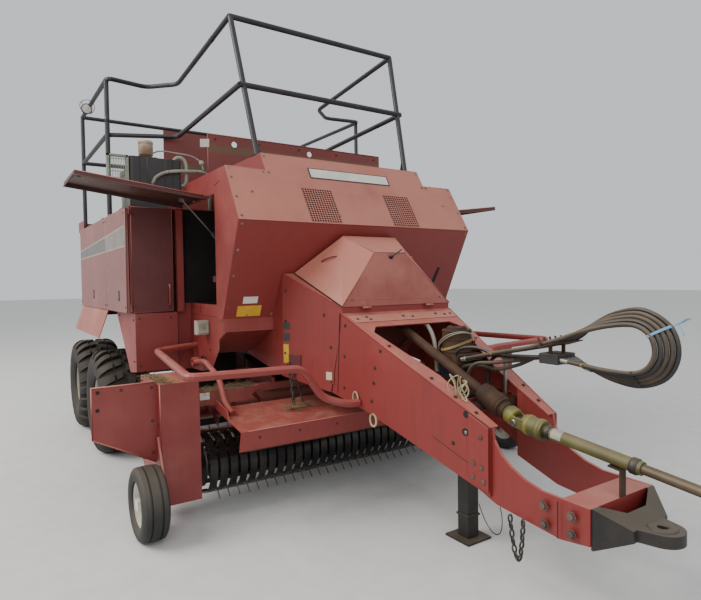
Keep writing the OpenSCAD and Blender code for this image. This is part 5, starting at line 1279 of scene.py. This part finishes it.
LID_UNDER = on_lid(0, 0, 1) - on_lid(0, 0, 0)
lid_corners = [(LID_FRONT, LID_ROOT), (LID_FRONT, LID_LENGTH), (LID_REAR, LID_LENGTH), (LID_REAR, LID_ROOT)]
lips = rolls([on_lid(x, out, LID_DEPTH) for x, out in lid_corners], 0.004)
twins("lid_lips", lips, LID_BROWN, "lid", smooth=True, turn=True)
top_line = bead(on_lid(LID_FRONT, LID_ROOT, -0.004), on_lid(LID_FRONT, LID_LENGTH, -0.004), 0.0045)
twins("lid_edge", top_line, RED, "lid", smooth=True)
twins("lid_sheet", plate([on_lid(x, out, -0.0052) for x, out in lid_corners], 0.001), RED, "lid", turn=True)
# The hole is a pale disc of painted light: the bright sky seen through it
twins("lid_hole_sky_light", spot(on_lid(-0.52, 0.735, 0.0002), LID_UNDER, 0.011), CREAM, "lid", turn=True)
latch_cup = turned([(0.0, 0.013), (0.010, 0.013), (0.012, 0.010)], on_lid(-0.57, 0.762, 0.0), LID_UNDER, 20)
twins("lid_latch", latch_cup, CAST, "lid", smooth=True, turn=True)

# %% [markdown]
# Sheet-metal seams between the box, its lower skirt and the flare over the wheels are thin and dark.

# %% Skirt seams and bolts
box_side = bolts_beside(-1.350, [(-1.03, 1.20), (-1.03, 0.90), (-1.50, 1.215)], 0.006, 0.005)
box_front = bolts_across(-0.980, [(-1.32, 1.21), (-1.10, 1.21), (-1.32, 0.87), (-1.10, 0.87)], 0.006, 0.005)
hood_side = bolts_beside(-0.935, [(-0.455, 1.285), (-0.955, 1.285), (-0.955, 1.00), (-0.62, 0.99),
                                  (-0.80, 1.255)], 0.006, 0.005)
piece("skirt_bolts", both_sides(box_side, box_front, hood_side), RUSTY)
piece("sill_joint", both_sides(tube(beside(-0.9352, [(-0.985, 1.232), (-0.406, 1.226)]), 0.0012, 6)), DARK)

# %% [markdown]
# A dust cooler stands on the right box: a black tank with a pale screen frame beside it, a small
# expansion bottle on top and a bent pipe that leads inwards. The bottle and the pipe's elbow are
# turned and swept shapes, and the screen is a frame with crossed wires. A slatted duct stands behind.

# %% Cooler details
BOX_TOP, FRAME_BAR = 2.009, 0.014
low, high = at(-1.160, -1.480, 2.150), at(-1.128, -1.338, 2.395)
bars = [box(low, (high[0], high[1], low[2] + FRAME_BAR)), box((low[0], low[1], high[2] - FRAME_BAR), high),
        box(low, (high[0], low[1] + FRAME_BAR, high[2])),
        box((low[0], high[1] - FRAME_BAR, low[2]), (high[0], high[1] + 0.004, high[2]))]
wires = [tube([(high[0] - 0.012, y, low[2]), (high[0] - 0.012, y, high[2])], 0.0022, 6)
         for y in np.arange(low[1] + 0.024, high[1] - 0.01, 0.011)]
wires += [tube([(high[0] - 0.014, low[1], z), (high[0] - 0.014, high[1], z)], 0.0028, 6)
          for z in np.arange(low[2] + 0.035, high[2] - 0.01, 0.045)]
piece("cooler_screen", joined(*bars, *wires), GREY_GREEN, turn=True)
legs = [block((-1.158, y, BOX_TOP - 0.002), (-1.130, y + 0.02, 2.152)) for y in (-1.384, -1.350)]
piece("screen_legs", joined(*legs), GREY_GREEN, bevel=0.001)
bottle = [(0, 0.036), (0.022, 0.036), (0.025, 0.048), (0.032, 0.0525), (0.104, 0.0525), (0.107, 0.0500),
          (0.110, 0.0540), (0.128, 0.0540), (0.132, 0.0500), (0.133, 0.020)]
piece("expansion_bottle", turned(bottle, at(-1.195, -1.195, 2.3925), (0, 0, 1), 36), RESERVOIR, smooth=True,
      turn=True)
piece("bottle_tray", block((-1.262, -1.268, 2.3935), (-1.135, -1.128, 2.4010)), RUSTY, bevel=0.002)
thin = on([(-1.195, -1.150, 2.440), (-1.180, -1.090, 2.462), (-1.150, -0.990, 2.452), (-1.120, -0.880, 2.436),
           (-1.105, -0.810, 2.396), (-1.101, -0.786, 2.330)])
ball = turned([(-0.020, 0.004), (-0.016, 0.013), (-0.006, 0.0195), (0.006, 0.0195), (0.016, 0.013),
               (0.020, 0.004)], at(-1.104, -0.800, 2.388), (0, 0, 1), 24)
piece("thin_pipe", joined(pipe(thin, 0.0055, 10, 6), ball), GREY_GREEN, smooth=True, turn=True)
PIPE_FOOT = at(-1.124, -0.735, BOX_TOP + 0.004)
route = on([(-1.140, -1.165, 2.200), (-1.108, -1.165, 2.216), (-1.100, -1.145, 2.250),
            (-1.100, -1.080, 2.288), (-1.100, -0.990, 2.306), (-1.100, -0.890, 2.314),
            (-1.102, -0.800, 2.318), (-1.118, -0.752, 2.300), (-1.124, -0.735, 2.250),
            (-1.124, -0.735, 2.150)])
piece("cooler_pipe", pipe([*route, PIPE_FOOT], 0.013, per=5), GREY_GREEN, smooth=True)
clips = [collar(at(-1.100, y, z), (0, 1, 0.14), 0.0132, 0.0158, 0.016, 0.002, 24)
         for y, z in ((-1.070, 2.291), (-0.860, 2.3155))]
foot_flange = turned([(0, 0.034), (0.007, 0.034), (0.008, 0.020), (0.016, 0.018)], PIPE_FOOT, (0, 0, 1), 28)
piece("pipe_clips", joined(*clips, foot_flange), ZINC, smooth=True, turn=True)
elbow = on([(-1.150, -1.000, 2.392), (-1.146, -0.985, 2.412), (-1.140, -0.955, 2.418),
            (-1.136, -0.925, 2.400), (-1.135, -0.912, 2.350), (-1.135, -0.912, 2.260),
            (-1.138, -0.925, 2.215), (-1.150, -0.955, 2.205)])
piece("cooler_elbow", pipe(elbow, 0.014, per=6), GREY_GREEN, smooth=True)
seams = [tube([at(-1.119, y, 2.152), at(-1.119, y, 2.392)], 0.0018, 6) for y in (-1.205, -1.075)]
cap = turned([(0, 0.030), (0.003, 0.034), (0.012, 0.034), (0.016, 0.028)], at(-1.205, -1.045, 2.3935),
             (0, 0, 1), 28)
piece("cooler_trim", joined(cap, *seams), OLD_BROWN, smooth=True, turn=True)
duct_low, duct_high = at(-1.560, -1.300, BOX_TOP), at(-1.340, -1.080, 2.330)
lid_rim = box(duct_low + [-0.010, -0.010, 0.290], duct_high + [0.010, 0.010, 0.014])
piece("intake_duct", joined(box(duct_low, duct_high), lid_rim), OLD_BROWN, bevel=0.008)
slats = [box((duct_high[0] - 0.002, duct_low[1] + 0.02, z),
             (duct_high[0] + 0.006, duct_high[1] - 0.02, z + 0.009)) for z in np.arange(2.060, 2.270, 0.022)]
piece("duct_slats", joined(*slats), OLD_BROWN, bevel=0.0015)

# %% [markdown]
# The handrail is welded steel tube. Each post stands on a foot plate with two bolts, a clamp sleeve
# joins the lengths, and a gusset stiffens the corner. A work lamp in a wire loop is clamped to it.

# %% Handrail fittings
RAIL_R, RAIL_SLEEVE = 0.0155, 0.0205
feet, foot_bolts = [], []
for x, y, z in ((-0.400, -0.650, 2.3235), (-2.050, -1.300, 2.010), (-3.350, -1.300, 2.0145)):
    feet.append(block((x - 0.045, y - 0.035, z), (x + 0.045, y + 0.035, z + 0.006)))
    foot_bolts += [at(x - 0.032, y, z + 0.006), at(x + 0.032, y, z + 0.006)]
piece("rail_feet", both_sides(*feet), RAIL, bevel=0.0012)
piece("rail_foot_bolts", both_sides(studs(foot_bolts, (0, 0, 1), 0.0065, 0.006)), ZINC)


def sleeve_on(start, end, share, length):
    """A clamp sleeve round a straight rail, centred at a share of its length."""
    start, end = at(*start), at(*end)
    way = unit(end - start)
    return collar(start + (end - start) * share - way * length / 2, way, RAIL_R, RAIL_SLEEVE, length, 0.002,
                  24)


sleeves = [sleeve_on((-0.675, -0.720, 3.360), (-1.900, -0.730, 3.240), 0.30, 0.060),
           sleeve_on((-2.050, -1.300, 2.010), (-2.050, -1.300, 3.220), 0.72, 0.050),
           sleeve_on((-3.350, -1.300, 2.010), (-3.350, -1.300, 3.220), 0.60, 0.050)]
piece("rail_sleeves", both_sides(*sleeves), RAIL, smooth=True)
piece("rail_cross_sleeve", sleeve_on((-0.530, -0.710, 2.840), (-0.530, 0.710, 2.840), 0.70, 0.055), RAIL,
      smooth=True)
gusset = plate([at(-0.405, -0.654, 2.330), at(-0.405, -0.600, 2.330), at(-0.448, -0.664, 2.480)], 0.005)
piece("rail_gussets", both_sides(gusset), RAIL, turn=True)
LAMP_AT, LAMP_WAY = at(-2.890, -1.333, 3.190), (1, 0, -0.25)
bowl = [(0, 0.020), (0.006, 0.034), (0.024, 0.048), (0.044, 0.052), (0.056, 0.052), (0.058, 0.048),
        (0.052, 0.046)]
piece("work_lamp_bowl", turned(bowl, LAMP_AT + [-0.02, 0, 0], LAMP_WAY), BLACK_SHEET, smooth=True, turn=True)
glass = [(0, 0.0465), (0.004, 0.046), (0.010, 0.030), (0.012, 0.002)]
piece("work_lamp_lens", turned(glass, LAMP_AT + [0.028, 0, -0.012], LAMP_WAY), CREAM, slot="lamp_white",
      smooth=True, turn=True)
t = np.linspace(0, 2 * np.pi, 41)
loop = LAMP_AT + np.stack([0.060 + 0.012 * np.sin(2 * t), 0.066 * np.cos(t), 0.066 * np.sin(t)], -1)
guard_bars = [tube([LAMP_AT + [0.0, y, z], LAMP_AT + [0.060, 1.30 * y, 1.30 * z]], 0.0026, 6)
              for y, z in ((0.036, 0.036), (-0.036, 0.036), (0.036, -0.036), (-0.036, -0.036))]
clamp = tube([LAMP_AT + [0.010, 0.012, 0.040], LAMP_AT + [0.0, 0.033, 0.031]], 0.008)
piece("work_lamp_guard", joined(tube(loop, 0.003, 8, caps=False), *guard_bars, clamp), RAIL, smooth=True,
      turn=True)

# %% [markdown]
# The deck is folded sheet with a row of bolts along its front edge, and the upright shield behind it
# carries rolled edges. The knotter stack shows cam discs with a raised rim and six bolts each.

# %% Deck and knotter details
shield_edge = [(-0.720, 2.016), (-0.720, 2.640), (0.960, 2.640), (0.960, 2.016)]
piece("shield_rolls", rolls(across(-1.177, shield_edge), 0.0055), DARK_RED, smooth=True)
rims = [turned([(0, 0.024), (0.0022, 0.024), (0.003, 0.027), (0, 0.031)], at(-1.1742, y, 2.580), (1, 0, 0),
               28, caps=False) for y in (-0.500, 0.200)]
piece("shield_hole_rims", joined(*rims), DARK_RED, smooth=True)
sign = plate(across(-1.1715, [(-0.785, 2.528), (-0.712, 2.537), (-0.711, 2.600), (-0.784, 2.591)]), 0.0015)
piece("small_sign_blank", sign, CREAM, turn=True)
shield_bolts = [(y, z) for y in (-0.66, -0.28, 0.10, 0.48, 0.90) for z in (2.045, 2.605)]
piece("shield_bolts", bolts_across(-1.174, shield_bolts, 0.007, 0.006), RUSTY)
deck_bolts = on([(-1.030, y, BOX_TOP + 0.005) for y in np.linspace(-0.92, 0.92, 9)])
piece("deck_bolts", studs(deck_bolts, (0, 0, 1), 0.007, 0.006), RUSTY)
STACK_X, DISC_Z, CHAMBER_W, LIFTS = -2.340, 2.249, 1.2, 6
DISC = [(0, 0.090), (0.005, 0.089), (0.005, 0.070), (0.001, 0.066)]
discs, disc_bolts, bills = [], [], []
a = angles(6)
for y in (np.arange(LIFTS) - (LIFTS - 1) / 2) * CHAMBER_W / LIFTS:
    for s in (-1, 1):
        face = at(STACK_X, y + s * 0.013, DISC_Z)
        discs.append(turned(DISC, face, (0, s, 0), caps=False))
        places = face + np.stack([0.048 * np.cos(a), 0 * a + s * 0.0005, 0.048 * np.sin(a)], -1)
        disc_bolts.append(studs(places, (0, s, 0), 0.0065, 0.006))
    hook = on([(-2.310, y + 0.040, 2.170), (-2.270, y + 0.046, 2.120), (-2.262, y + 0.050, 2.060),
               (-2.290, y + 0.056, 2.020)])
    bills.append(pipe(hook, 0.007, 8, 6))
piece("knotter_discs", joined(*discs), STEEL, smooth=True)
piece("knotter_bolts", joined(*disc_bolts), ZINC)
piece("knotter_hooks", joined(*bills), WORN_STEEL, smooth=True, turn=True)

# %% [markdown]
# The rear lamps are moulded blocks with a red lens in three fields.

# %% Lamp lenses
REAR_FACE = -3.070
fields = [block((REAR_FACE - 0.005, y, 1.508), (REAR_FACE + 0.001, y + 0.032, 1.592))
          for y in (-1.292, -1.256, -1.220)]
piece("tail_lenses", both_sides(*fields), LENS, bevel=0.0015)

# %% [markdown]
# The pickup has been worked hard. Its bands are polished black, straw has gathered on the end beams
# and along the windguard, and short chains hold the windguard up. Straw is many bent stalks: one
# template tube of four rings is copied by broadcasting over seeded places, headings and lengths.

# %% Straw and dust


def stalks(low, high, count, spread, radius=0.0011, length=(0.03, 0.11), lie=0.22):
    """Loose stalks in a box: random headings near the level, a random bend, four rings of four."""
    places = rng.uniform(at(*low), at(*high), (count, 3))
    heading = rng.uniform(0, 2 * np.pi, count)
    rise = rng.normal(0, lie, count)
    way = np.stack([np.cos(heading) * np.cos(rise), np.sin(heading) * np.cos(rise), np.sin(rise)], -1)
    side = unit(np.cross(way, [0, 0, 1.0]))
    top = np.cross(side, way)
    reach = rng.uniform(*length, count)[:, None]
    bend = rng.normal(0, 0.16, count)[:, None]
    middle = places + rng.uniform(-1, 1, (count, 3)) * spread
    rings = []
    for t in (-0.5, -0.17, 0.17, 0.5):
        centre = middle + way * reach * t + side * reach * bend * (0.25 - t * t) * 2
        rings += [centre + radius * offset for offset in (side, top, -side, -top)]
    faces = np.array(ring_faces(4, 4)) + 16 * np.arange(count)[:, None, None]
    return np.stack(rings, 1).reshape(-1, 3), faces.reshape(-1, 4)


piles = [stalks((-0.470, -1.400, 0.757), (-0.375, -0.700, 0.765), 320, 0.004),
         stalks((-0.392, -1.400, 0.735), (-0.374, -0.720, 0.756), 120, 0.003, lie=0.5),
         stalks((-0.600, -1.392, 0.861), (-0.210, -1.322, 0.864), 260, 0.003)]
piece("straw_on_beams", both_sides(*piles), STRAW, "pickup")
CHAFF_ROWS, CHAFF_COLS = 14, 70
x, y = np.meshgrid(np.linspace(-0.465, -0.372, CHAFF_ROWS), np.linspace(-1.405, -0.700, CHAFF_COLS),
                   indexing="ij")
lumps = 0.010 * np.abs(np.sin(y * 23 + x * 40)) * np.abs(np.sin(y * 7.3 + 1.2))
height = 0.755 + lumps + 0.004 * np.sin(x * 140 + y * 61)
height[[0, -1], :] = height[:, [0, -1]] = 0.7535
layer = on(np.stack([x, y, height], -1).reshape(-1, 3))
piece("chaff_on_beams", both_sides((layer, grid_faces(CHAFF_ROWS, CHAFF_COLS))), CHAFF, "pickup", smooth=True)
guard_pile = stalks((-0.215, -0.900, 0.667), (-0.020, 0.900, 0.672), 60, 0.002)
beam_pile = stalks((-0.630, -1.380, 0.437), (-0.605, 1.380, 0.441), 90, 0.002)
guard_pile = joined(guard_pile, stalks((-0.060, -0.640, 0.655), (0.010, -0.480, 0.660), 90, 0.004))
piece("straw_on_guard", guard_pile, STRAW, "windguard")
piece("straw_on_rear_beam", beam_pile, STRAW, "pickup")
drum = turned([(0, 0.020), (0, 0.060), (0.004, 0.064), (0.100, 0.064), (0.108, 0.058), (0.112, 0.030)],
              at(-0.300, -1.307, 0.715), (0, 1, 0), 36)
piece("reel_drive_drum", both_sides(drum), RED, "pickup", smooth=True, turn=True)
# The reel turns on a wide tube, dark as painted shade inside the reel, which also hides the floor behind the
# gaps
core = collar(at(-0.345, -1.050, 0.300), (0, 1, 0), 0.030, 0.118, 2.101, 0.001, 48)
piece("reel_core", core, DARK, "reel", "grey_steel", smooth=True)

# %% [markdown]
# End shields and wings are bolted sheet with folded edges. The shield's own screws follow its
# outline a little way in, and each wing has two open holes, dark discs of painted shade.

# %% Shield and wing details
PLATE_FACE = -1.400
screws = [(-0.610, 0.830), (-0.420, 0.832), (-0.230, 0.830), (-0.222, 0.620), (-0.215, 0.400),
          (-0.212, 0.170), (-0.400, 0.118), (-0.610, 0.320), (-0.612, 0.560)]
piece("shield_screws", both_sides(bolts_beside(PLATE_FACE, screws, 0.0070, 0.006)), RUSTY, "pickup")
edge = [(-0.640, 0.860), (-0.200, 0.860), (-0.190, 0.400), (-0.185, 0.130), (-0.420, 0.090), (-0.640, 0.300),
        (-0.640, 0.860)]
piece("shield_edges", both_sides(rolls(beside(PLATE_FACE + 0.003, edge), 0.004)), RED, "pickup", smooth=True)
wing_holes = [spot(at(-0.2548, y, z), (1, 0, 0), 0.011, 24) for y, z in ((-1.727, 0.844), (-1.730, 0.742))]
piece("wing_holes", both_sides(*wing_holes), DARK, "pickup", turn=True)
wing_line = [(-1.4005, 0.385), (-1.7605, 0.575), (-1.7605, 0.8702), (-1.4005, 0.8702)]
piece("wing_edges", both_sides(rolls(across(-0.2575, wing_line), 0.0045)), RED, "pickup", smooth=True)
wing_bolts = [(-1.430, 0.840), (-1.430, 0.640), (-1.430, 0.450), (-1.600, 0.845)]
piece("wing_bolts", both_sides(bolts_across(-0.255, wing_bolts, 0.0065, 0.006)), RUSTY, "pickup")
piece("beam_plate_blank", both_sides(plate(across(-0.3675, rectangle(-1.100, -1.035, 0.700, 0.745)), 0.002)),
      CREAM, "pickup", turn=True)

# %% [markdown]
# A steel lip edges the windguard below, its upper edge is folded, and a row of bolts holds its strip.

# %% Windguard lip and bolts
GUARD_HALF = 1.009
low_lip, fold = (bead(at(x, -GUARD_HALF, z), at(x, GUARD_HALF, z), radius)
                 for x, z, radius in ((0.1545, 0.4785, 0.0038), (0.1915, 0.6035, 0.0035)))
piece("windguard_lip", low_lip, RUSTY, "windguard", "shaft_brown", smooth=True)
piece("windguard_fold", fold, RED, "windguard", smooth=True)
guard_bolts = on([(0.1745, y, 0.5555) for y in np.linspace(-0.93, 0.93, 8)])
piece("windguard_bolts", studs(guard_bolts, (0.966, 0, -0.257), 0.0075, 0.007), RUSTY, "windguard")

# %% [markdown]
# The windguard hangs on three short chains at either side, from a bracket on the tongue. They spread
# a little, so that they hold it sideways too.

# %% Windguard chains


def slack(start, end, sag):
    """A chain from start to end that hangs by sag in its middle, as a parabola."""
    t = np.linspace(0, 1, 30)[:, None]
    line = at(*start) + (at(*end) - at(*start)) * t - [0, 0, sag] * (4 * t * (1 - t))
    return chain(line, 0.036, 0.0034)


bracket = plate([tongue_rear(x, z, 0.007) for x, z in rectangle(-0.108, -0.010, 0.905, 0.985)], 0.006)
piece("chain_bracket", both_sides(bracket), DARK_RED, bevel=0.001, turn=True)
hang = [slack((-0.085, -0.592, 0.925), (-0.020, -0.600, 0.640), 0.012),
        slack((-0.060, -0.584, 0.915), (-0.045, -0.500, 0.646), 0.030),
        slack((-0.100, -0.596, 0.930), (-0.075, -0.560, 0.655), 0.040)]
chains = piece("windguard_chains", both_sides(*hang), CAST, None, smooth=True, turn=True)
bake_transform(chains)
